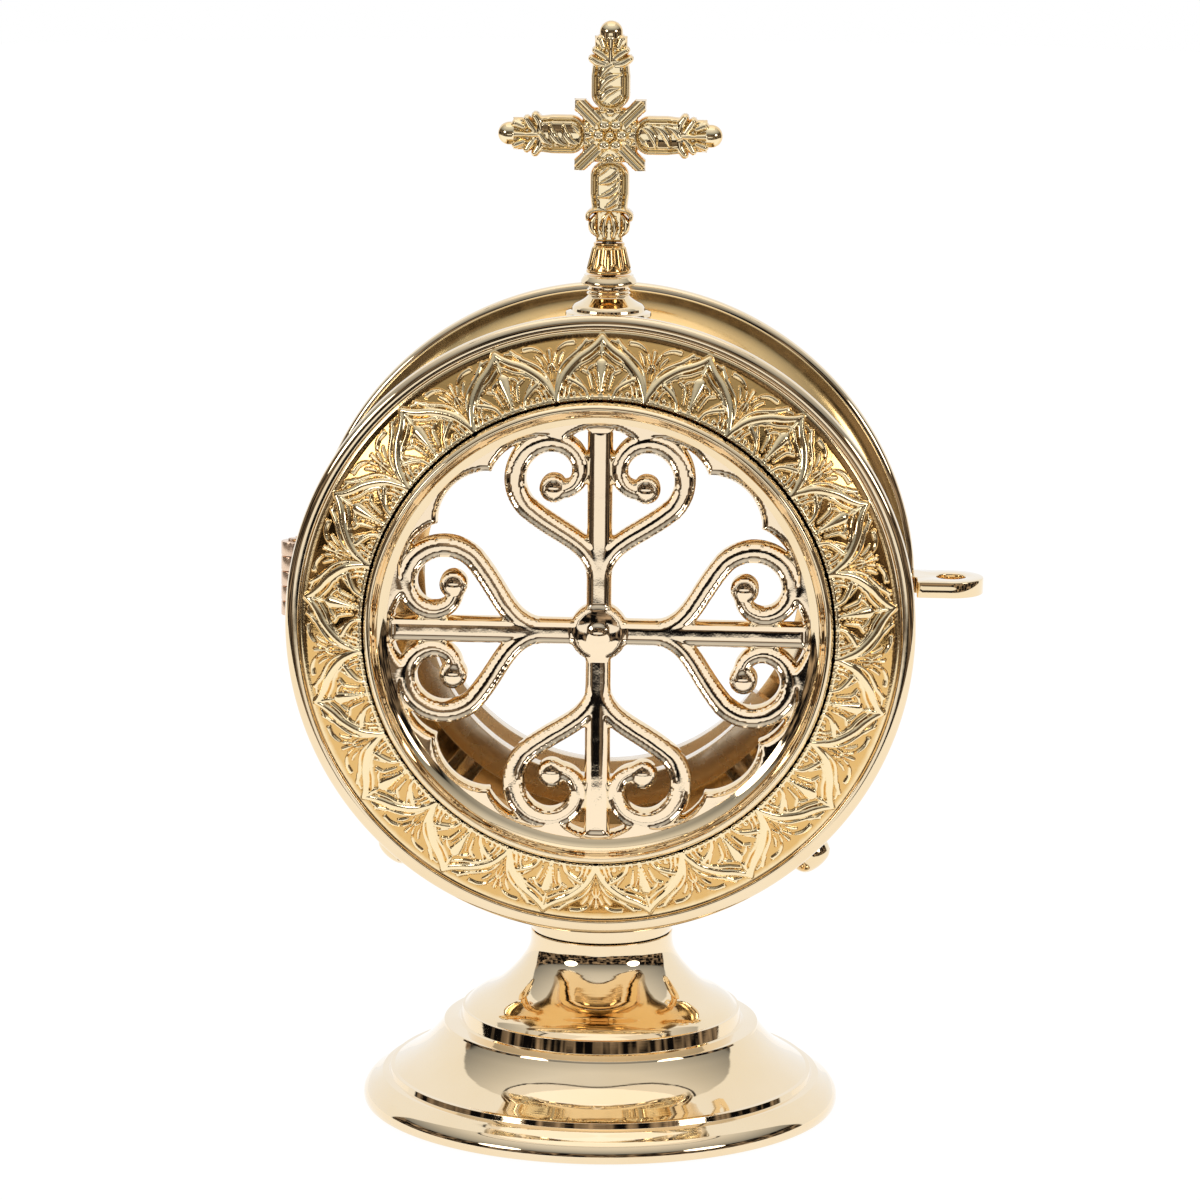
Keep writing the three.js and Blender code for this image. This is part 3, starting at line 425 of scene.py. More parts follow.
def spin(section, upright, steps, angle=360, start=0):
    line = rounded(section)
    bpy.ops.object.select_all(action="DESELECT")
    bpy.ops.mesh.primitive_circle_add(vertices=len(line), radius=0.01, fill_type="NOTHING")
    piece = bpy.context.object
    if upright:
        centre, axis = (0, 0, 0), (0, 0, 1)
        places = [Vector((p[0], 0, p[1])) * MM for p in line]
    else:
        centre, axis = tuple(case_middle), (0, -1, 0)
        lean = Matrix.Rotation(math.radians(start), 3, "Y")
        places = [lean @ (Vector((p[0], p[1], 0)) * MM) + case_middle for p in line]
    for vertex, place in zip(piece.data.vertices, places):
        vertex.co = place
    bpy.ops.object.mode_set(mode="EDIT")
    bpy.ops.mesh.select_all(action="SELECT")
    bpy.ops.mesh.spin(steps=steps, angle=math.radians(angle), center=centre, axis=axis)
    bpy.ops.mesh.select_all(action="SELECT")
    bpy.ops.mesh.remove_doubles(threshold=SEAM)
    if angle < 360:
        bpy.ops.mesh.select_all(action="DESELECT")
        bpy.ops.mesh.select_non_manifold()
        bpy.ops.mesh.fill_holes(sides=0)
        bpy.ops.mesh.select_all(action="SELECT")
    bpy.ops.mesh.normals_make_consistent()
    bpy.ops.object.mode_set(mode="OBJECT")
    return piece

# %% [markdown]
# ## Foot
# The foot is spun over a form: a rolled rim, a low step, a wide bell, a ledge with an upright face, a
# shoulder and a trumpet-like rise to the narrow neck. The edges of the steps are left crisp, because
# they draw the fine dark and bright lines in the photograph.

# %% Foot shell
foot_section = [
    (42.6, 0.3, 0.1), (43.3, 0.35, 0.4), (43.5, 1.2, FLOW), (43.35, 2.3, FLOW), (42.5, 3.55, FLOW),
    (41.2, 4.4, FLOW), (40.0, 5.3, 0.25), (38.75, 5.45, 0.1), (38.5, 6.45, 0.1), (37.75, 6.5, 0.15),
    (36.0, 7.55, FLOW), (34.4, 8.55, FLOW), (32.6, 10.0, FLOW), (30.9, 11.8, FLOW), (29.5, 13.6, FLOW),
    (28.85, 14.6, 0.15), (28.7, 15.0, 0.15), (27.4, 15.1, FLOW), (26.2, 15.25, 0.3),
    (25.75, 15.45, 0.1), (25.35, 17.75, 0.08), (24.9, 17.8, 0.15), (23.9, 18.9, FLOW),
    (22.3, 19.9, FLOW), (20.4, 20.8, FLOW), (18.6, 22.0, FLOW), (16.7, 23.8, FLOW), (14.9, 25.9, FLOW),
    (13.6, 27.9, FLOW), (13.05, 29.5, FLOW), (12.95, 31.0, FLOW), (12.95, 32.1, 0.12),
    (12.8, 32.2, 0.05), (11.75, 32.2), (11.7, 29.7), (12.4, 27.2), (13.7, 25.0), (15.6, 22.8),
    (17.7, 20.9), (21.5, 18.9), (23.6, 17.4), (24.3, 16.4), (24.6, 14.4), (27.4, 13.9), (31.0, 9.6),
    (36.9, 5.5), (39.6, 3.9), (41.9, 2.2), (42.0, 0.3)]
foot = spin(foot_section, UPRIGHT, 224)
settle(foot, "foot_spun", "case", spun_up, "gilt", "foot_shell", smooth=28)

# %% [markdown]
# The saddle is a short collar that fits the round drum on top of the neck. It is spun too high and
# then every vertex above the drum's underside is brought down to it.

# %% Saddle
DRUM_RADIUS, FLARE = 49.0, 6.0
FLARE_FROM, FLARE_TO = 8.3, 17.3     # distances from the drum's middle plane
GAP = 0.02               # between the drum and what is fitted to it


def drum_outside(y):
    share = max(0.0, (min(abs(y), FLARE_TO) - FLARE_FROM) / (FLARE_TO - FLARE_FROM))
    return DRUM_RADIUS + FLARE * share ** 3


saddle_section = [
    (12.0, 32.5), (12.85, 32.5, 0.1), (13.0, 33.3, 0.2), (13.02, 36.0, FLOW), (13.3, 39.5, FLOW),
    (13.9, 42.6, FLOW), (14.5, 45.5, FLOW), (14.6, 49.4), (11.9, 49.4), (11.9, 33.9)]
saddle = spin(saddle_section, UPRIGHT, 224)
for vertex in saddle.data.vertices:
    x, y, z = vertex.co / MM
    ceiling = AXIS - math.sqrt(drum_outside(y) ** 2 - x * x) - GAP
    if z > ceiling:
        vertex.co.z = ceiling * MM
settle(saddle, "saddle_spun", "case", spun_up, "gilt", "neck_saddle", smooth=28)

# %% [markdown]
# ## Case
# The drum is a spool: a round wall whose channel flares out to a flange on each side. Outside it
# is polished, and inside it has a satin finish. The inside's colour is painted paler to stand in for
# the light that hardly reaches in.

# %% Drum
drum_section = [
    (47.4, -18.6, 0.1), (54.9, -18.7, 0.2), (55.0, -17.3, 0.35), (52.9, -17.0, FLOW),
    (50.7, -15.4, FLOW), (49.3, -12.4, FLOW), (49.0, -8.3, FLOW), (49.0, 0, FLOW), (49.0, 8.3, FLOW),
    (49.3, 12.4, FLOW), (50.7, 15.4, FLOW), (52.9, 17.0, FLOW), (55.0, 17.3, 0.35), (54.9, 18.7, 0.2),
    (47.4, 18.6, 0.1), (47.4, 6), (47.4, -6)]
SATIN_WITHIN = 47.6      # radius of the inside
drum = spin(drum_section, LEVEL, 240)
drum.data.materials.append(spun_case)
drum.data.materials.append(satin_inside_painted_paler)
for face in drum.data.polygons:
    middle = face.center / MM
    if math.hypot(middle.x, middle.z - AXIS) < SATIN_WITHIN:
        face.material_index = 1
settle(drum, "drum_spun", "case", spun_case, "gilt_spun", "case_drum", smooth=28)

# %% [markdown]
# The front cover has a rolled rim with a groove inside it. The domed band between the groove and
# the bezel carries the ornament and is a piece of its own, further down.

# %% Front rim
def facing_front(section):
    return [(r, -h, *rest) for r, h, *rest in section]


rim = [
    (54.7, 19.0, 0.4), (55.75, 19.3, FLOW), (56.05, 20.4, FLOW), (55.85, 21.6, FLOW), (54.9, 22.15, FLOW),
    (53.65, 22.1, 0.3), (53.4, 21.6, 0.12)]
groove = [(53.05, 21.5, 0.1), (52.6, 20.5), (51.9, 20.4), (51.9, 19.0)]
front_rim = spin(facing_front(rim + groove), LEVEL, 240)
settle(front_rim, "front_rim_rolled", "case", spun_face, "gilt_cast", "front_cover_ring", smooth=28)

# %% [markdown]
# The bezel is a plain raised lip with a polished cove that falls to the openwork plate.

# %% Bezel and the ring behind the plate
bezel_section = [
    (41.65, 25.2), (41.65, 26.4, 0.1), (41.5, 27.4, FLOW), (41.2, 28.4, FLOW), (40.8, 28.95, FLOW),
    (40.25, 28.95, 0.12), (39.85, 28.3, FLOW), (39.55, 27.35, FLOW), (38.7, 26.35, FLOW),
    (37.45, 25.76, 0.05), (37.5, 25.71), (39.65, 25.71), (39.65, 20.9), (41.65, 20.9), (43.85, 21.9),
    (43.85, 23.8)]
bezel = spin(facing_front(bezel_section), LEVEL, 240)
settle(bezel, "bezel_turned", "case", gilt, "gilt", "front_bezel", smooth=28)
ring_section = [(39.35, 22.4, 0.15), (37.15, 22.4, 0.15), (37.15, 21.2, 0.15), (39.35, 21.2, 0.15)]
back_ring = spin(facing_front(ring_section), LEVEL, 160)
settle(back_ring, "plate_ring_turned", "case", gilt_satin, "gilt_satin", "plate_retaining_ring")

# %% [markdown]
# The back of the case is the door. It repeats the rolled rim, and its band is plain and polished up
# to a round lip.

# %% Door and its snap collar
door_section = rim + [
    (53.05, 21.75, 0.15), (50.3, 23.6, FLOW), (46.6, 25.5, FLOW), (42.6, 26.85, FLOW),
    (38.2, 27.35, 0.2), (37.6, 27.9, FLOW), (36.6, 28.2, FLOW), (35.4, 28.0, FLOW), (34.8, 27.2, 0.3),
    (34.8, 26.1, 0.1), (38.0, 26.1), (42.4, 25.6), (46.2, 24.3), (49.9, 22.4), (51.9, 20.6),
    (51.9, 19.0)]
door_ring = spin(door_section, LEVEL, 240)
settle(door_ring, "door_ring_spun", "door", spun_face, "gilt", "back_door_ring", smooth=28)
collar = spin([(r, h, 0.15) for r, h in [
    (46.9, 14.7), (46.9, 19.3), (50.3, 19.3), (50.3, 20.3), (45.9, 20.3), (45.9, 14.7)]], LEVEL, 160)
settle(collar, "snap_collar_turned", "door", gilt_satin, "gilt_satin", "door_snap_collar")

# %% [markdown]
# ## Cradle
# Inside, a grooved arc holds the lunette upright. It is only a part of a ring, so it is spun
# through that angle and its ends are filled. Two posts carry it on the drum wall. They are short
# cylinders with eased edges, and are joined to the arc as one piece.

# %% Cradle rail
cradle_section = [(r, y, 0.2) for r, y in [
    (32.4, 0.5), (38.0, 0.5), (38.0, 17.5), (32.4, 17.5), (32.4, 13.9), (35.6, 13.9), (35.6, 4.1),
    (32.4, 4.1)]]
SCREW_ANGLE, SCREW_Y = 39, 4.0       # the angle is measured from the bottom
POST_RADIUS, POST_LENGTH, POST_MIDDLE = 2.9, 9.4, 42.35


def at_screw(side):
    turn = Matrix.Rotation(math.radians(-side * SCREW_ANGLE), 4, "Y")
    return Matrix.Translation(case_middle + Vector((0, SCREW_Y, 0)) * MM) @ turn


def joined(parts):
    pick(*parts)
    bpy.ops.object.join()
    return parts[0]


def on_all(operator, **settings):
    bpy.ops.object.mode_set(mode="EDIT")
    bpy.ops.mesh.select_all(action="SELECT")
    operator(**settings)
    bpy.ops.object.mode_set(mode="OBJECT")


def eased(piece, width):
    on_all(bpy.ops.mesh.bevel, offset=width * MM, segments=2)
    return piece


cradle = spin(cradle_section, LEVEL, 120, angle=130, start=35)
posts = []
for side in (-1, 1):
    bpy.ops.object.select_all(action="DESELECT")
    bpy.ops.mesh.primitive_cylinder_add(vertices=40, radius=POST_RADIUS * MM, depth=POST_LENGTH * MM)
    post = eased(bpy.context.object, 0.2)
    post.data.transform(at_screw(side) @ Matrix.Translation(Vector((0, 0, -POST_MIDDLE)) * MM))
    posts.append(post)
# the cradle takes the inside finish, whose colour is painted paler as light
settle(joined([cradle] + posts), "cradle_grooved", "case", satin_inside_painted_paler, "gilt_satin", "cradle_rail")

# %% [markdown]
# Each end of the cradle is drawn tight by a domed, slotted screw outside the channel. The head is
# turned with its spacer, and the slot is cut with a bar.

# %% Cradle screws
screw_section = [
    (0, -62.8), (1.4, -62.75, FLOW), (3.0, -62.2, FLOW), (3.75, -61.0, FLOW), (3.9, -59.7, FLOW),
    (3.85, -58.5, 0.2), (3.3, -58.2, 0.15), (2.5, -58.15, 0.1), (2.35, -57.6, 0.2), (2.35, -49.1, 0.1),
    (1.5, -49.0), (1.5, -36.8), (0, -36.8)]
for side, name in ((-1, "left"), (1, "right")):
    screw = spin(screw_section, UPRIGHT, 64)
    bpy.ops.object.select_all(action="DESELECT")
    bpy.ops.mesh.primitive_cube_add(size=1, location=(0, 0, -62.5 * MM), scale=(10 * MM, 0.9 * MM, 2.4 * MM))
    bar = bpy.context.object
    bpy.ops.object.transform_apply()
    slot = screw.modifiers.new("slot", "BOOLEAN")
    slot.object, slot.operation, slot.solver = bar, "DIFFERENCE", "EXACT"
    pick(screw)
    bpy.ops.object.modifier_apply(modifier="slot")
    bpy.data.objects.remove(bar)
    screw.data.transform(at_screw(side))
    settle(screw, "screw_domed_" + name, "case", gilt, "gilt", "cradle_screw_" + name, smooth=25)

# %% [markdown]
# ## Finial
# A small stepped plate, a ringed neck and a round collar carry the fluted socket of the cross.

# %% Finial base and collar
base_section = [
    (1.3, 141.0), (7.3, 141.0), (7.3, 144.9, 0.1), (7.6, 145.0, 0.12), (7.74, 145.5, 0.2),
    (7.6, 146.05, 0.15), (7.1, 146.2, 0.1), (6.6, 146.35, 0.15), (6.5, 146.85, 0.15),
    (6.15, 147.35, FLOW), (5.2, 147.8, FLOW), (4.4, 148.3, FLOW), (3.8, 148.8, FLOW),
    (3.6, 149.15, 0.05), (3.9, 149.2, 0.12), (3.92, 149.5, 0.12), (3.6, 149.6, 0.05),
    (3.55, 149.85, 0.05), (3.8, 149.9, 0.1), (3.82, 150.15, 0.1), (3.55, 150.25, 0.05), (3.55, 150.7),
    (1.3, 150.7)]
SEAT_TOP = 144.4         # the plate is solid from here up
finial = spin(base_section, UPRIGHT, 128)
for vertex in finial.data.vertices:
    x, y, z = vertex.co / MM
    seat = min(AXIS + math.sqrt(drum_outside(y) ** 2 - x * x) + GAP, SEAT_TOP)
    if z < seat:
        vertex.co.z = seat * MM
settle(finial, "finial_turned", "case", gilt, "gilt", "finial_base", smooth=28)
collar_section = [
    (1.3, 151.0), (3.9, 151.0, 0.1), (4.7, 151.1, FLOW), (5.05, 151.35, 0.15), (4.95, 151.8, FLOW),
    (4.6, 152.3, FLOW), (4.45, 152.5, 0.05), (4.5, 152.7, 0.08), (4.35, 152.8, 0.05), (1.3, 152.8)]
ring = spin(collar_section, UPRIGHT, 128)
settle(ring, "finial_collar_turned", "case", gilt, "gilt", "finial_collar", smooth=28)

# %% [markdown]
# The socket tapers upwards and carries ten hanging leaves, with an arcade of small gaps between
# their tips. It is spun and then every leaf is raised by moving the vertices out.

# %% Fluted socket
SOCKET_LOW, SOCKET_HIGH, FLUTES = 153.1, 158.5, 10
LEAF_FOOT, LEAF_LENGTH, LEAF_ROWS = 0.6, 4.3, 30
socket_section = [
    (1.3, SOCKET_LOW), (3.9, SOCKET_LOW, 0.1), (4.1, SOCKET_LOW + 0.2, 0.1), (4.0, SOCKET_LOW + 0.5, 0.1)] + [
    (3.75 - 1.15 * k / LEAF_ROWS, SOCKET_LOW + LEAF_FOOT + LEAF_LENGTH * k / LEAF_ROWS)
    for k in range(LEAF_ROWS + 1)] + [
    (2.8, SOCKET_HIGH - 0.4, 0.1), (2.75, SOCKET_HIGH, 0.1), (1.3, SOCKET_HIGH)]
socket = spin(socket_section, UPRIGHT, 280)
for vertex in socket.data.vertices:
    x, y, z = vertex.co / MM
    radius = math.hypot(x, y)
    rise = (z - SOCKET_LOW - LEAF_FOOT) / LEAF_LENGTH
    if radius > 2.2 and 0 <= rise <= 1:
        beside = abs(math.atan2(y, x) * FLUTES / (2 * math.pi) % 1 - 0.5)
        width = 0.46 * min(1.0, (rise / 0.28) ** 0.6)
        leaf = max(0.0, 1 - (beside / max(width, 0.01)) ** 2) ** 0.5
        vein = 0.12 * max(0.0, 1 - beside / 0.07)
        scale = 1 + (0.38 * leaf - vein) * min(1.0, (1 - rise) / 0.1) / radius
        vertex.co.x *= scale
        vertex.co.y *= scale
settle(socket, "socket_fluted", "case", gilt_cross, "gilt_cast", "cross_socket", smooth=40)

# %% [markdown]
# ## Chased relief
# The ornament band, the openwork plate and the cross are castings whose relief no operator gives:
# ridges that swell, cross and die into the ground. They are made from drawn strokes. A grid of
# points is laid over the form, each point finds its distance to the strokes, and a rounded ridge is
# raised over each stroke. This stands in for the chaser's pattern, and all lines are smooth. A
# hump is a half circle: 1 in its middle and 0 from 1 on.

# %% Distance to a stroke
def hump(away):
    return np.sqrt(np.clip(1 - away ** 2, 0, 1))


def along_stroke(x, z, points, widths):
    line = [Vector(p) for p in points]
    spread = np.interp(np.linspace(0, 1, len(line)), np.linspace(0, 1, len(widths)), widths)
    best, width = np.full(x.shape, 1e9), np.zeros(x.shape)
    for a, b, wide, next_wide in zip(line, line[1:], spread, spread[1:]):
        run = b - a
        t = np.clip(((x - a.x) * run.x + (z - a.y) * run.y) / max(run.length_squared, 1e-12), 0, 1)
        half = (wide + (next_wide - wide) * t) / 2
        away = np.hypot(x - a.x - t * run.x, z - a.y - t * run.y) - half
        nearer = away < best
        best, width = np.where(nearer, away, best), np.where(nearer, half, width)
    return -best, width


def ridge(x, z, points, widths, height):
    inside, half = along_stroke(x, z, points, widths)
    return height * hump(1 - np.clip(inside / np.maximum(half, 1e-6), 0, 1))


def flowing(points, steps=5):
    ends = [2 * Vector(points[0]) - Vector(points[1])] + [Vector(p) for p in points]
    ends.append(2 * ends[-1] - ends[-2])
    line = []
    for i in range(1, len(ends) - 2):
        a, b, c, d = ends[i - 1:i + 3]
        for k in range(steps):
            t = k / steps
            line.append(0.5 * (2 * b + t * (c - a) + t * t * (2 * a - 5 * b + 4 * c - d)
                               + t ** 3 * (3 * b - 3 * c + d - a)))
    line.append(ends[-2])
    return [tuple(p) for p in line]

# %% [markdown]
# ## Ornament band
# Seventeen pointed arches stand round the dome, each with a tall drop leaf under it, curled leaves
# beside the drop, small leaves in the gaps, a three-lobed sprig between two arches and short feet
# along the inner edge. One half arch is drawn, the other half mirrors it, and the same heights
# repeat seventeen times.

# %% One arch of the band
ARCHES = 17
BAND_OUT, BAND_IN = 53.1, 41.9
HALF_ARCH = math.pi / ARCHES
DRAWN_MIDDLE, DRAWN_TOP = 785, 50    # the arch's middle and its outer edge in the drawing
UNIT_ANGLE = HALF_ARCH / 688         # the drawing is 688 units from there to its side
UNIT_DEPTH = (BAND_OUT - BAND_IN) / 1070


def on_band(points):
    placed = []
    for x, y in points:
        angle, radius = (x - DRAWN_MIDDLE) * UNIT_ANGLE, BAND_OUT - (y - DRAWN_TOP) * UNIT_DEPTH
        placed.append((radius * math.sin(angle), radius * math.cos(angle)))
    return placed


arch_strokes = [
    ([(785, 130), (850, 235), (950, 340), (1080, 440), (1200, 560), (1300, 680), (1370, 800),
      (1410, 900), (1450, 1000), (1473, 1100)], [1.1, 1.35, 1.4, 1.3, 1.1], 0.68),
    ([(785, 330), (870, 410), (960, 490), (1060, 545), (1150, 620), (1220, 720), (1262, 820)],
     [0.55, 0.6, 0.5], 0.36),
    ([(985, 170), (1070, 300), (1180, 400), (1290, 500), (1370, 620), (1420, 760), (1460, 900)],
     [0.75, 0.62, 0.4], 0.46),
    ([(1150, 185), (1250, 195), (1330, 245), (1375, 300)], [0.8, 0.6, 0.3], 0.5),
    ([(1473, 480), (1473, 280)], [0.35, 0.72], 0.5),
    ([(1440, 480), (1398, 340)], [0.3, 0.6], 0.45),
    ([(1473, 470), (1473, 740)], [0.4, 0.3], 0.36),
    ([(1450, 480), (1430, 540), (1416, 610)], [0.3, 0.45, 0.3], 0.36),
    ([(785, 560), (785, 680), (785, 820), (785, 1010)], [2.0, 1.75, 1.15, 0.5], 0.62),
    ([(905, 660), (855, 800), (825, 960), (808, 1090)], [0.3, 0.26, 0.24], 0.4),
    ([(1090, 600), (1180, 645), (1245, 745)], [0.34, 0.34, 0.3], 0.34),
    ([(1245, 770), (1130, 850), (1030, 940), (982, 1050), (965, 1140)], [0.9, 0.85, 0.6], 0.56),
    ([(1050, 640), (960, 700), (930, 800), (905, 940)], [0.5, 0.7, 0.45], 0.38),
    ([(785, 215), (785, 330), (785, 450)], [0.5, 0.95, 0.4], 0.55),
    ([(865, 545), (945, 600), (990, 690)], [0.3, 0.6, 0.3], 0.45),
    ([(1170, 700), (1130, 770), (1060, 850)], [0.3, 0.6, 0.3], 0.45),
    ([(1300, 880), (1335, 980), (1350, 1080)], [0.4, 0.7, 0.4], 0.46),
    ([(1215, 840), (1260, 940), (1270, 1060)], [0.3, 0.6, 0.4], 0.46),
    ([(900, 175), (1010, 215), (1100, 290)], [0.4, 0.6, 0.3], 0.42),
    ([(1290, 330), (1340, 420), (1370, 520)], [0.4, 0.6, 0.3], 0.42),
]
arch_dots = [(1190, 1000, 0.52, 0.45), (1010, 600, 0.3, 0.3), (1330, 900, 0.36, 0.34), (1100, 1010, 0.3, 0.3)]
feet = [15, 125, 195, 295, 400, 505, 600, 680]

# %% Heights of one half arch
COLUMNS, ROWS = 60, 80   # of the grid, per half arch
BOLDER = 1.12            # the strokes are this much wider than drawn


def half_arch_heights():
    drawn = [(on_band(flowing(points)), [BOLDER * w for w in widths], height)
             for points, widths, height in arch_strokes]
    drawn += [(on_band([(x, y), (x + 1, y)]), [2 * size], height) for x, y, size, height in arch_dots]
    drawn += [(on_band([(DRAWN_MIDDLE + at, 1045), (DRAWN_MIDDLE + at, 1110)]), [0.62, 0.5], 0.4)
              for at in feet]
    angle, radius = np.meshgrid(np.linspace(0, HALF_ARCH, COLUMNS + 1),
                                np.linspace(BAND_OUT, BAND_IN, ROWS + 1), indexing="ij")
    total = np.zeros(angle.shape)
    for mirror in (1, -1):
        for shift in (0, 2 * HALF_ARCH):
            turned = mirror * (angle - shift)
            x, z = radius * np.sin(turned), radius * np.cos(turned)
            for points, widths, height in drawn:
                total = np.maximum(total, ridge(x, z, points, widths, height))
    bead = np.clip(1 - np.abs(radius - (BAND_IN + 0.35)) / 0.4, 0, 1)
    step = np.clip((radius - (BAND_OUT - 0.9)) / 0.7, 0, 1)
    return np.maximum(total, np.maximum(0.42 * hump(1 - bead), 0.3 * step))


half_heights = half_arch_heights()
print("relief from", round(half_heights.min(), 3), "to", round(half_heights.max(), 3), "mm")

# %% [markdown]
# Each casting is built from a grid of points, because its relief is finer than an operator could
# shape it. One helper makes the mesh and keeps every point's depth for the finish, where the depth
# sets the roughness and paints the low ground darker as shade. It also turns the faces outwards.

# %% Mesh of a casting
def corners(grid):
    return grid[:-1, :-1], grid[1:, :-1], grid[1:, 1:], grid[:-1, 1:]


def quads(*lines):
    return np.stack(lines, -1).reshape(-1, 4)


def cast_mesh(name, verts, faces, depths):
    mesh = bpy.data.meshes.new(name)
    mesh.from_pydata((verts * MM).tolist(), [], np.concatenate(faces).tolist())
    piece = bpy.data.objects.new(name, mesh)
    bpy.context.scene.collection.objects.link(piece)
    level = mesh.attributes.new("depth", "FLOAT", "POINT")
    level.data.foreach_set("value", np.clip(depths, 0, 1).astype(np.float32))
    pick(piece)
    on_all(bpy.ops.mesh.normals_make_consistent)
    return piece

# %% [markdown]
# The heights stand on the dome of the band. The grid is closed with a plain inner face and end
# walls, and the band is made in two parts so that neither has too many faces.

# %% Band on its dome
DOME_FOOT, DOME_RISE = 21.62, 5.1
SUNK, WALL = 0.25, 1.1   # the ground lies below the dome, and the inner face below that


def dome(radius):
    share = (BAND_OUT - radius) / (BAND_OUT - BAND_IN)
    return DOME_FOOT + DOME_RISE * (share * 1.24 - 0.24 * share * share)


def band_part(name, first, last):
    whole = np.concatenate([half_heights[:0:-1], half_heights], 0)
    columns = np.concatenate([whole[:-1]] * (last - first) + [whole[-1:]], 0)
    angles = (first - 0.5 + np.arange(columns.shape[0]) / (2 * COLUMNS)) * 2 * HALF_ARCH
    radii = np.linspace(BAND_OUT, BAND_IN, ROWS + 1)
    angle, radius = np.meshgrid(angles, radii, indexing="ij")
    slope = np.arctan(np.gradient(dome(radii), radii))[None, :]
    up = columns - SUNK
    verts = []
    for far, high in ((radius - up * np.sin(slope), dome(radius) + up * np.cos(slope)),
                      (radius, dome(radius) - WALL)):
        place = np.stack([far * np.sin(angle), -high, AXIS + far * np.cos(angle)], -1)
        verts.append(place.reshape(-1, 3))
    index = np.arange(columns.size).reshape(columns.shape)
    under = index + columns.size
    a, b, c, d = corners(under)
    faces = [quads(*corners(index)), quads(a, d, c, b)]
    for line, low in ((index[0], under[0]), (index[-1][::-1], under[-1][::-1]),
                      (index[:, 0][::-1], under[:, 0][::-1]), (index[:, -1], under[:, -1])):
        faces.append(quads(line[:-1], line[1:], low[1:], low[:-1]))
    # the relief height becomes the depth, so the finish paints the low ground darker as shade
    depths = np.concatenate([(columns / 0.6).ravel(), np.zeros(columns.size)])
    return cast_mesh(name, np.concatenate(verts), faces, depths)


for name, first, last in (("band_upper", -4, 5), ("band_lower", 5, 13)):
    settle(band_part(name, first, last), name, "case", gilt_cast, "gilt_cast", smooth=60)

# %% [markdown]
# ## Openwork plate
# The plate is cast through: a scalloped frame, four bars and eight scrolls. Seen close, each stroke
# has a bright raised rim and a smooth floor that is a little hollow. The strokes are drawn in the
# plane of the plate, the distance to the nearest edge gives the rim and the hollow, and the outline
# of the mesh is pulled onto the drawn edge.

# %% Casting from a drawn outline
def cast_form(name, inside, front, back, reach, cell, middle_z):
    line = np.linspace(-reach, reach, int(round(2 * reach / cell)) + 1)
    x, z = np.meshgrid(line, line, indexing="ij")
    a, b, c, d = corners(inside(x, z))
    kept = (a + b + d + c) / 4 > 0
    a, b, c, d = corners(kept)
    for _ in range(4):               # two cells that meet only in a corner get a third beside them
        b |= a & c & ~b & ~d
        a |= b & d & ~a & ~c
    around = np.zeros(x.shape, int)
    for cells in corners(around):
        cells += kept
    used, step = around > 0, cell / 20
    rim_points = used & (around < 4)
    for _ in range(3):               # each time the rim comes nearer to the drawn edge
        px, pz = x[rim_points], z[rim_points]
        here = inside(px, pz)
        gx = (inside(px + step, pz) - inside(px - step, pz)) / (2 * step)
        gz = (inside(px, pz + step) - inside(px, pz - step)) / (2 * step)
        size = np.maximum(gx * gx + gz * gz, 0.25)
        move = np.clip(here / size, -0.8 * cell, 0.8 * cell)
        x[rim_points] = px - move * gx
        z[rim_points] = pz - move * gz
    edge = inside(x, z)
    edge[rim_points] = 0
    count = int(used.sum())
    index = np.full(x.shape, -1)
    index[used] = np.arange(count)
    verts = [np.stack([x[used], -form(x, z, edge)[used], middle_z + z[used]], -1) for form in (front, back)]
    a, b, c, d = corners(index)
    cells = quads(a, b, c, d)[kept.ravel()]
    faces = [cells, cells[:, ::-1] + count]
    padded = np.pad(kept, 1)
    for beside, p, q in ((padded[:-2, 1:-1], d, a), (padded[2:, 1:-1], b, c),
                         (padded[1:-1, :-2], a, b), (padded[1:-1, 2:], c, d)):
        bare = kept & ~beside
        faces.append(quads(q[bare], p[bare], p[bare] + count, q[bare] + count))
    # the distance to the outline becomes the depth, so the finish paints the parts near the edges darker as
    # shade
    return cast_mesh(name, np.concatenate(verts), faces, np.tile(edge[used], 2))

# %% [markdown]
# A scroll springs from its bar in a bow and winds inwards as a spiral. One scroll is drawn. Folding
# the plate along its bars and diagonals makes the other seven from it.

# %% Line of a scroll
LOBE, POINT, PLATE_OUT, SCALLOP = 36.55, 34.25, 39.35, 22.5
BAR, STROKE, WELD = 4.4, 3.5, 0.5
SCROLL_OUT, SCROLL_IN, SCROLL_TURN, SCROLL_START = 8.0, 2.6, 330, -50
LEAD_FROM, LEAD_STEPS, SCROLL_STEPS = 8.6, 14, 60    # each scroll springs from its bar at 8.6 mm
scroll_widths = [3.5, 3.7, 3.9, 3.5, 3.0, 2.8]


def scroll_radius(degrees):
    return SCROLL_OUT - (SCROLL_OUT - SCROLL_IN) * (degrees - SCROLL_START) / SCROLL_TURN


reach = LOBE - scroll_radius(70) - STROKE / 2 + WELD
scroll_x = BAR / 2 + scroll_radius(180) + STROKE / 2 - WELD
scroll_z = math.sqrt(reach ** 2 - scroll_x ** 2)


def on_scroll(degrees):
    a, radius = math.radians(degrees), scroll_radius(degrees)
    return (scroll_x + radius * math.cos(a), scroll_z + radius * math.sin(a))


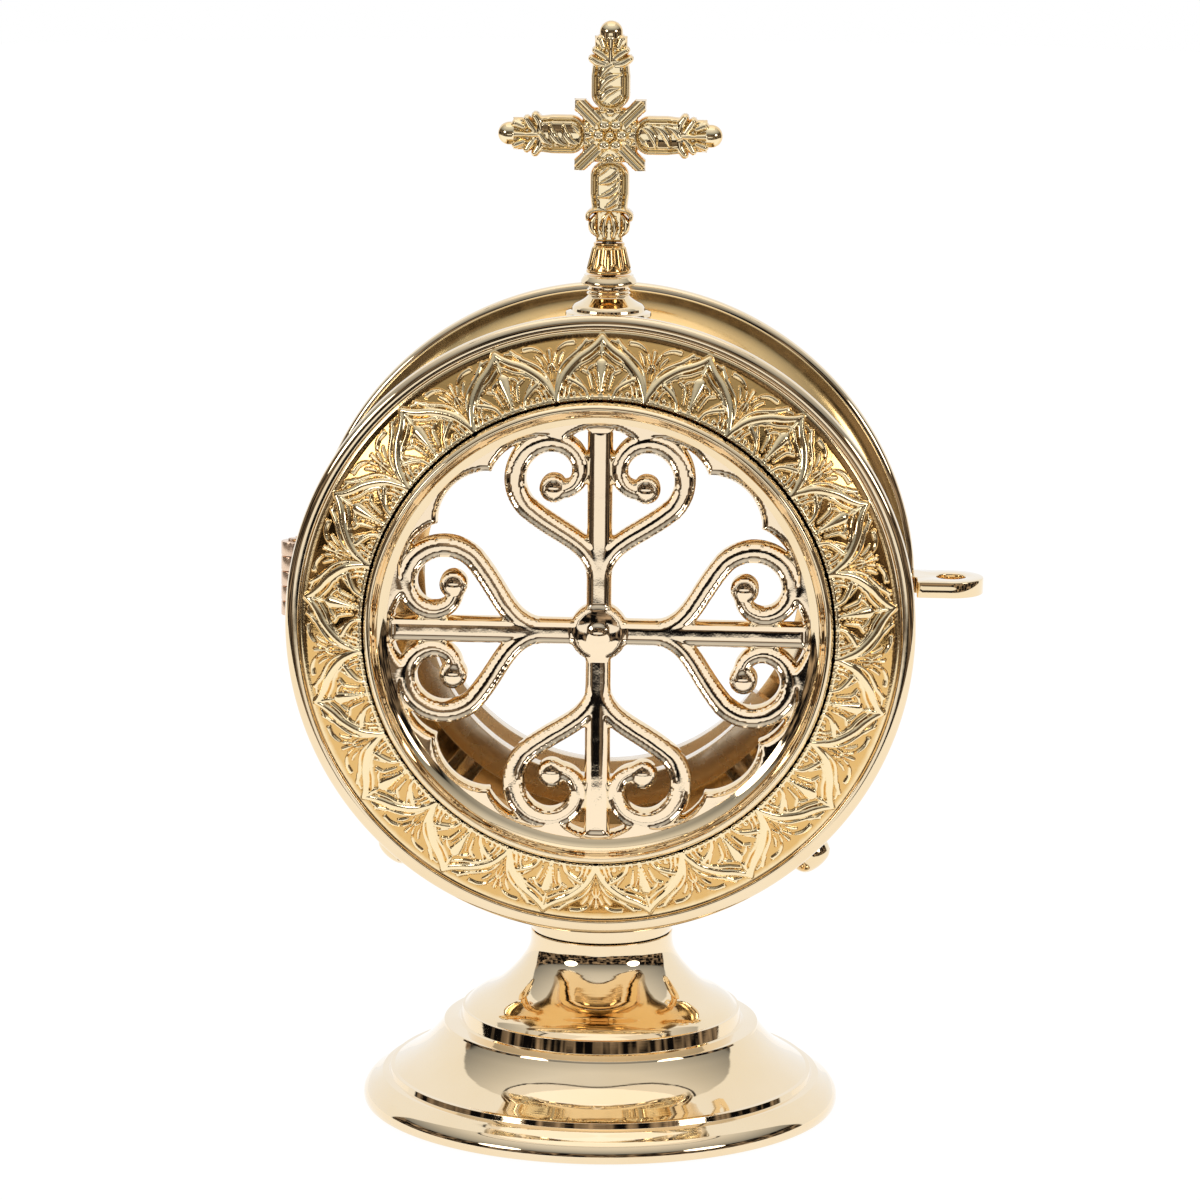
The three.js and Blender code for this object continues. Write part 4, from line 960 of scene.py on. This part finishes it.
first, start = Vector(on_scroll(SCROLL_START)), math.radians(SCROLL_START)
heading = Vector((-math.sin(start), math.cos(start)))
lead = [Vector((0, LEAD_FROM)), Vector((BAR / 6, LEAD_FROM + SCROLL_OUT)),
        first - 1.1 * SCROLL_OUT * heading, first]
scroll_line = []
for k in range(LEAD_STEPS):
    t = k / LEAD_STEPS
    scroll_line.append(tuple((1 - t) ** 3 * lead[0] + 3 * t * (1 - t) ** 2 * lead[1]
                             + 3 * t * t * (1 - t) * lead[2] + t ** 3 * lead[3]))
scroll_line += [on_scroll(SCROLL_START + SCROLL_TURN * k / SCROLL_STEPS) for k in range(SCROLL_STEPS + 1)]
scroll_eye = scroll_line[-1]
print("scroll centre", round(scroll_x, 2), round(scroll_z, 2), "eye", [round(v, 2) for v in scroll_eye])

# %% [markdown]
# The outline is where a blend of all forms comes to zero: the scalloped frame, the bars, the
# scrolls, their eyes and the boss. The blend rounds the inner corners, as in a casting.

# %% Outline of the plate
def blended(parts, round_mm):
    total = parts[0]
    for part in parts[1:]:
        mix = np.clip(0.5 + 0.5 * (total - part) / round_mm, 0, 1)
        total = part + (total - part) * mix + round_mm * mix * (1 - mix)
    return total


def folded(x, z):
    x, z = np.abs(x), np.abs(z)
    return np.minimum(x, z), np.maximum(x, z)


def plate_edge(x, z):
    far = np.hypot(x, z)
    turn = (np.degrees(np.arctan2(x, z)) / SCALLOP + 0.5) % 1
    scallop = POINT + (LOBE - POINT) * np.sin(np.pi * turn) ** 0.75
    frame_part = np.minimum(far - scallop, PLATE_OUT - far)
    a, b = folded(x, z)
    bars = np.minimum(BAR / 2 - a, LOBE + WELD - b)
    scrolls = [along_stroke(p, q, scroll_line, scroll_widths)[0] for p, q in ((a, b), (b, a))]
    eyes = 2.5 - np.hypot(a - scroll_eye[0], b - scroll_eye[1])
    boss = 5.2 - far
    return blended([frame_part, bars, *scrolls, eyes, boss], 0.35)

# %% [markdown]
# The front has the raised rim and the slight hollow. A boss stands in the middle and a smaller one
# on the eye of each scroll. The back is flat.

# %% Front and back of the plate
PLATE_FRONT, PLATE_BACK = 25.7, 22.7
RIM = 0.42               # the raised rim's height, and half its width


def plate_front(x, z, edge):
    a, b = folded(x, z)
    raised = RIM * hump((edge - RIM) / RIM)
    hollow = -0.03 * np.clip((edge - 2 * RIM) / 0.8, 0, 1)
    rounding = -0.45 * np.clip(1 - edge / 0.25, 0, 1) ** 2
    far = np.hypot(x, z)
    boss = 0.85 * hump(far / 5.0) + 0.5 * hump(far / 1.8)
    eye = 0.55 * hump(np.hypot(a - scroll_eye[0], b - scroll_eye[1]) / 1.7)
    return PLATE_FRONT + raised + hollow + rounding + np.maximum(boss, eye)


def plate_back(x, z, edge):
    return np.full(x.shape, PLATE_BACK)


plate = cast_form("openwork_cast", plate_edge, plate_front, plate_back, 39.6, 0.3, AXIS)
settle(plate, "openwork_cast", "case", gilt_plate, "gilt_cast", "openwork_plate", smooth=50)

# %% [markdown]
# ## Cross
# The cross is cast with the same relief on both sides. Each arm is drawn in its own coordinates, u
# across the arm and v outwards from the middle, so the four arms repeat by quarter turns: a panel
# with a double rim and slanting leaves, leaf curls beyond it, a cup of petals and a bullet tip. The
# lower arm ends in hanging leaves instead. Grooved bars stand between the arms, with small buds
# beside them and a rosette of six petals in the middle.

# %% Drawn strokes of the cross
CROSS_Z = 177.8
TIP, TIP_END = 2.05, 18.25           # radius of the bullet tip, and where it rounds off
BAR_HALF, BAR_REACH, DIAGONAL = 1.35, 6.4, 0.7071    # the slanting bars between the arms
CAST_LOW, ARM_END = 1.05, 17.6       # height of the cast ground, and end of an arm's core
panel_leaves = [
    ([(-1.9, 5.6), (-1.2, 7.1), (0.1, 8.1), (1.8, 8.6)], [0.4, 1.25, 1.35, 0.4]),
    ([(-1.9, 8.0), (-1.2, 9.5), (0.1, 10.5), (1.8, 11.0)], [0.4, 1.25, 1.35, 0.4]),
    ([(-1.8, 10.4), (-1.1, 11.8), (0.2, 12.7)], [0.4, 1.25, 0.9]),
    ([(0.1, 5.4), (1.2, 6.2), (1.9, 7.0)], [0.5, 1.0, 0.4])]
curls = [
    ([(0.9, 12.6), (2.2, 12.9), (3.3, 13.6)], [1.2, 1.7, 1.5], 2.15),
    ([(0.6, 13.6), (1.6, 14.4), (2.7, 15.1)], [1.1, 1.6, 1.4], 2.1),
    ([(0.0, 12.8), (0.0, 14.2), (0.0, 15.4)], [0.9, 1.5, 1.0], 2.3)]
cup = [([(0.0, 15.6), (0.0, 17.2)], [1.3, 1.6], 2.25), ([(1.35, 15.7), (1.9, 17.1)], [1.3, 1.5], 2.05)]
hanging = [
    ([(0.6, 13.4), (1.8, 13.3), (3.1, 13.6), (3.8, 14.3), (3.9, 15.0)], [0.6, 1.0, 1.0, 1.0, 0.7], 2.1),
    ([(2.4, 14.4), (3.0, 15.6), (2.9, 16.9), (2.2, 17.9)], [0.8, 1.5, 1.4, 0.7], 2.1),
    ([(0.0, 13.8), (0.7, 15.0), (1.0, 16.6), (0.7, 18.1)], [0.5, 1.2, 1.3, 0.8], 2.2)]
print("the cross has", len(panel_leaves + curls + cup + hanging), "drawn strokes")

# %% [markdown]
# The outline joins the panels, the slanting bars and the square middle with the drawn strokes,
# which stand free at the ends of the arms.

# %% Outline of the cross
def arm_places(x, z):
    side = np.abs(x) > np.abs(z)
    u = np.where(side, np.where(x > 0, -z, z), np.where(z > 0, x, -x))
    v = np.where(side, np.abs(x) + 0.3, np.abs(z))
    return u, v, (z < 0) & ~side


def panel_inside(u, v):
    taper = 0.35 * np.clip((v - 10.5) / 3, 0, 1)
    return 3.5 - taper - np.hypot(u, np.where(v < 7.3, (7.3 - v) * 1.2, 0))


def cross_edge(x, z):
    u, v, lower = arm_places(x, z)
    a, (near, wide) = np.abs(u), folded(x, z)
    panel = np.minimum(panel_inside(u, v), 13.8 - v)
    bars = np.minimum(BAR_HALF - (wide - near) * DIAGONAL, BAR_REACH - wide)
    square = 4.9 - wide
    outward = [along_stroke(a, v, points, widths)[0] for points, widths, _ in curls + cup]
    tip = along_stroke(a, v, [(0, 16.5), (0, TIP_END)], [2 * TIP, 2 * TIP])[0]
    core = np.minimum(2.9 - a, np.minimum(v - 12.5, ARM_END - v))
    downward = [along_stroke(a, v, points, widths)[0] for points, widths, _ in hanging]
    stem = np.minimum(2.4 - a, np.minimum(v - 12.5, 19.2 - v))
    far_end = np.where(lower, blended(downward + [stem], 0.15), blended(outward + [tip, core], 0.15))
    return blended([panel, bars, square, far_end], 0.25)

# %% [markdown]
# The height starts as a rounded slab. The rims of the panels, their leaves, the curls, the tips, the
# grooved bars, the buds and the rosette are then raised over it, one after the other.

# %% Heights of the cross
def rosette(x, z, height):
    far, sector = np.hypot(x, z), math.pi / 3
    turn = ((np.arctan2(z, x) / sector + 0.5) % 1 - 0.5) * sector
    away = np.hypot(far * np.cos(turn) - 2.05, far * np.sin(turn)) / 1.12
    petals = 1.3 + hump(away) - 0.25 * np.clip(1 - away / 0.3, 0, 1)
    height = np.where(far < 3.1, np.where(away < 1, petals, np.minimum(height, 1.2)), height)
    return np.maximum(height, np.where(far < 0.85, 1.6 + 0.95 * hump(far / 0.85), 0))


def cross_height(x, z, edge):
    u, v, lower = arm_places(x, z)
    a, (near, wide) = np.abs(u), folded(x, z)
    panel = panel_inside(u, v)
    height = 0.15 + CAST_LOW * hump(1 - np.clip(edge / 0.45, 0, 1))
    on_panel = (v < 13.4) & (panel > 0)
    for place, half, rise in ((0.42, 0.36, 0.55), (1.12, 0.26, 0.36)):
        height += np.where(on_panel, rise * hump((panel - place) / half), 0)
    swell = 0.85 * hump(a / 3.3) * np.clip((panel - 0.9) / 0.6, 0, 1)
    height += np.where(on_panel, swell, 0)
    for points, widths in panel_leaves:
        raised = ridge(u, v, flowing(points, 4), widths, 0.62)
        crest = np.where((raised > 0) & (panel > 1.15), CAST_LOW + 0.15 + raised + 0.9 * swell, 0)
        height = np.maximum(height, crest)
    for strokes, where in ((curls + cup, ~lower), (hanging, lower)):
        for points, widths, top in strokes:
            raised = ridge(a, v, flowing(points, 4), widths, top - CAST_LOW)
            height = np.maximum(height, np.where((raised > 0) & where, CAST_LOW + raised, 0))
    tip = np.clip(1 - (a / TIP) ** 2 - (np.clip(v - TIP_END, 0, 9) / TIP) ** 2, 0, 1)
    height = np.maximum(height, np.where((v > 17.35) & ~lower, TIP * np.sqrt(tip), 0))
    away = (wide - near) * DIAGONAL
    on_bar = (away < BAR_HALF) & (wide < BAR_REACH) & (panel < 0.05)
    lips = np.maximum(0.6 * np.abs(np.sin(np.pi * away / 1.5)), 0.45 * hump((edge - 0.3) / 0.28))
    height = np.where(on_bar, np.maximum(height - 0.1, CAST_LOW + 0.05 + lips), height)
    for bud_u, bud_v, size in ((0, 4.25, 0.9), (1.5, 4.5, 0.62)):
        away = np.hypot(a - bud_u, v - bud_v) / size
        height = np.maximum(height, np.where(away < 1, CAST_LOW + 0.75 * hump(away), 0))
    return rosette(x, z, height)


def cross_back(x, z, edge):
    return -cross_height(x, z, edge)


cross = cast_form("cross_cast", cross_edge, cross_height, cross_back, 20.6, 0.125, CROSS_Z)
settle(cross, "cross_cast", "case", gilt_cross, "gilt_cast", "cross", smooth=50)

# %% [markdown]
# ## Hinge
# Five knuckles of copper-rich brass on the left, three on the drum's leaf and two on the door's.
# Each knuckle is a short tube with eased ends, and a thin plate runs from it onto its part.

# %% Hinge leaves and pin
HINGE = Vector((-58.6, 18.85, 85.6))
KNUCKLES, KNUCKLE, SLIT = 5, 2.8, 0.08


def block(low, high):
    low, high = Vector(low), Vector(high)
    bpy.ops.object.select_all(action="DESELECT")
    bpy.ops.mesh.primitive_cube_add(size=1, location=(low + high) / 2 * MM, scale=(high - low) * MM)
    bpy.ops.object.transform_apply()
    return eased(bpy.context.object, 0.15)


def barrel(radius, low, high, ease):
    bpy.ops.object.select_all(action="DESELECT")
    place = (HINGE.x * MM, HINGE.y * MM, (low + high) / 2 * MM)
    bpy.ops.mesh.primitive_cylinder_add(vertices=48, radius=radius * MM, depth=(high - low) * MM,
                                        location=place)
    bpy.ops.object.transform_apply()
    return eased(bpy.context.object, ease)


leaves = {"case": [], "door": []}
for k in range(KNUCKLES):
    low, high = HINGE.z + KNUCKLE * k + SLIT, HINGE.z + KNUCKLE * (k + 1) - SLIT
    body, front, back = ("door", 18.8, 23.3) if k % 2 else ("case", 15.9, 18.9)
    leaves[body] += [barrel(2.2, low, high, 0.15), block((-58.6, front, low), (-57.1, back, high))]
for body, front, back, end in (("case", 16.0, 17.0, -53.2), ("door", 22.3, 23.3, -53.5)):
    leaves[body].append(block((-58.6, front, 85.6), (end, back, 99.6)))
    settle(joined(leaves[body]), f"hinge_{body}_leaf", body, pink_brass, "hinge", f"hinge_leaf_{body}",
           smooth=30)
settle(barrel(0.9, 85.2, 100.0, 0.2), "hinge_pin_turned", "case", pink_brass, "hinge", "hinge_pin", smooth=30)

# %% [markdown]
# ## Pull eye
# A flat lug with a round hole stands out from the right edge of the door. Its outline is a circle
# whose near half is pulled out to the rim; the hole's edge is the same circle at its own size.

# %% Pull eye
EYE_X, EYE_Y, EYE_LOW, EYE_HIGH = 62.6, 20.5, 91.9, 94.9
EYE_RADIUS, EYE_HOLE = 6.0, 2.7
bpy.ops.object.select_all(action="DESELECT")
bpy.ops.mesh.primitive_circle_add(vertices=96, radius=EYE_HOLE * MM, fill_type="NOTHING",
                                  location=(EYE_X * MM, EYE_Y * MM, EYE_LOW * MM))
eye = bpy.context.object
bpy.ops.object.transform_apply()
on_all(bpy.ops.mesh.extrude_region_move)
for vertex in eye.data.vertices:
    if vertex.select:
        away = Vector((vertex.co.x / MM - EYE_X, vertex.co.y / MM - EYE_Y)).normalized() * EYE_RADIUS
        if away.x < 0:
            away = away * (EYE_RADIUS / max(abs(away.y), abs(away.x) * 0.88))
            root = 56.35 if EYE_Y + away.y < 19.0 else 55.3      # where the lug meets the rolled rim
            away.x = max(away.x, root - EYE_X)
        vertex.co = Vector((EYE_X + away.x, EYE_Y + away.y, EYE_LOW)) * MM
on_all(bpy.ops.mesh.extrude_region_move,
       TRANSFORM_OT_translate={"value": (0, 0, (EYE_HIGH - EYE_LOW) * MM)})
on_all(bpy.ops.mesh.normals_make_consistent)
ease = eye.modifiers.new("ease", "BEVEL")
ease.width, ease.segments, ease.limit_method, ease.angle_limit = 0.35 * MM, 3, "ANGLE", math.radians(50)
bpy.ops.object.modifier_apply(modifier="ease")
settle(eye, "pull_eye_filed", "door", gilt, "gilt", "pull_eye", smooth=30)

# %% [markdown]
# ## Hidden parts
# The bolt, washer, nuts, stud, base plate and felt keep their CAD shape and only get their finish.

# %% Finish of the parts that stay
for name in ("foot_base_plate", "felt_pad", "case_bolt", "foot_washer", "foot_nut", "cross_stud",
             "cross_nut"):
    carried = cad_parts[name]
    carried.data.materials.clear()
    carried.data.materials.append(felt if name == "felt_pad" else zinc_steel)
print("carried over with a finish")
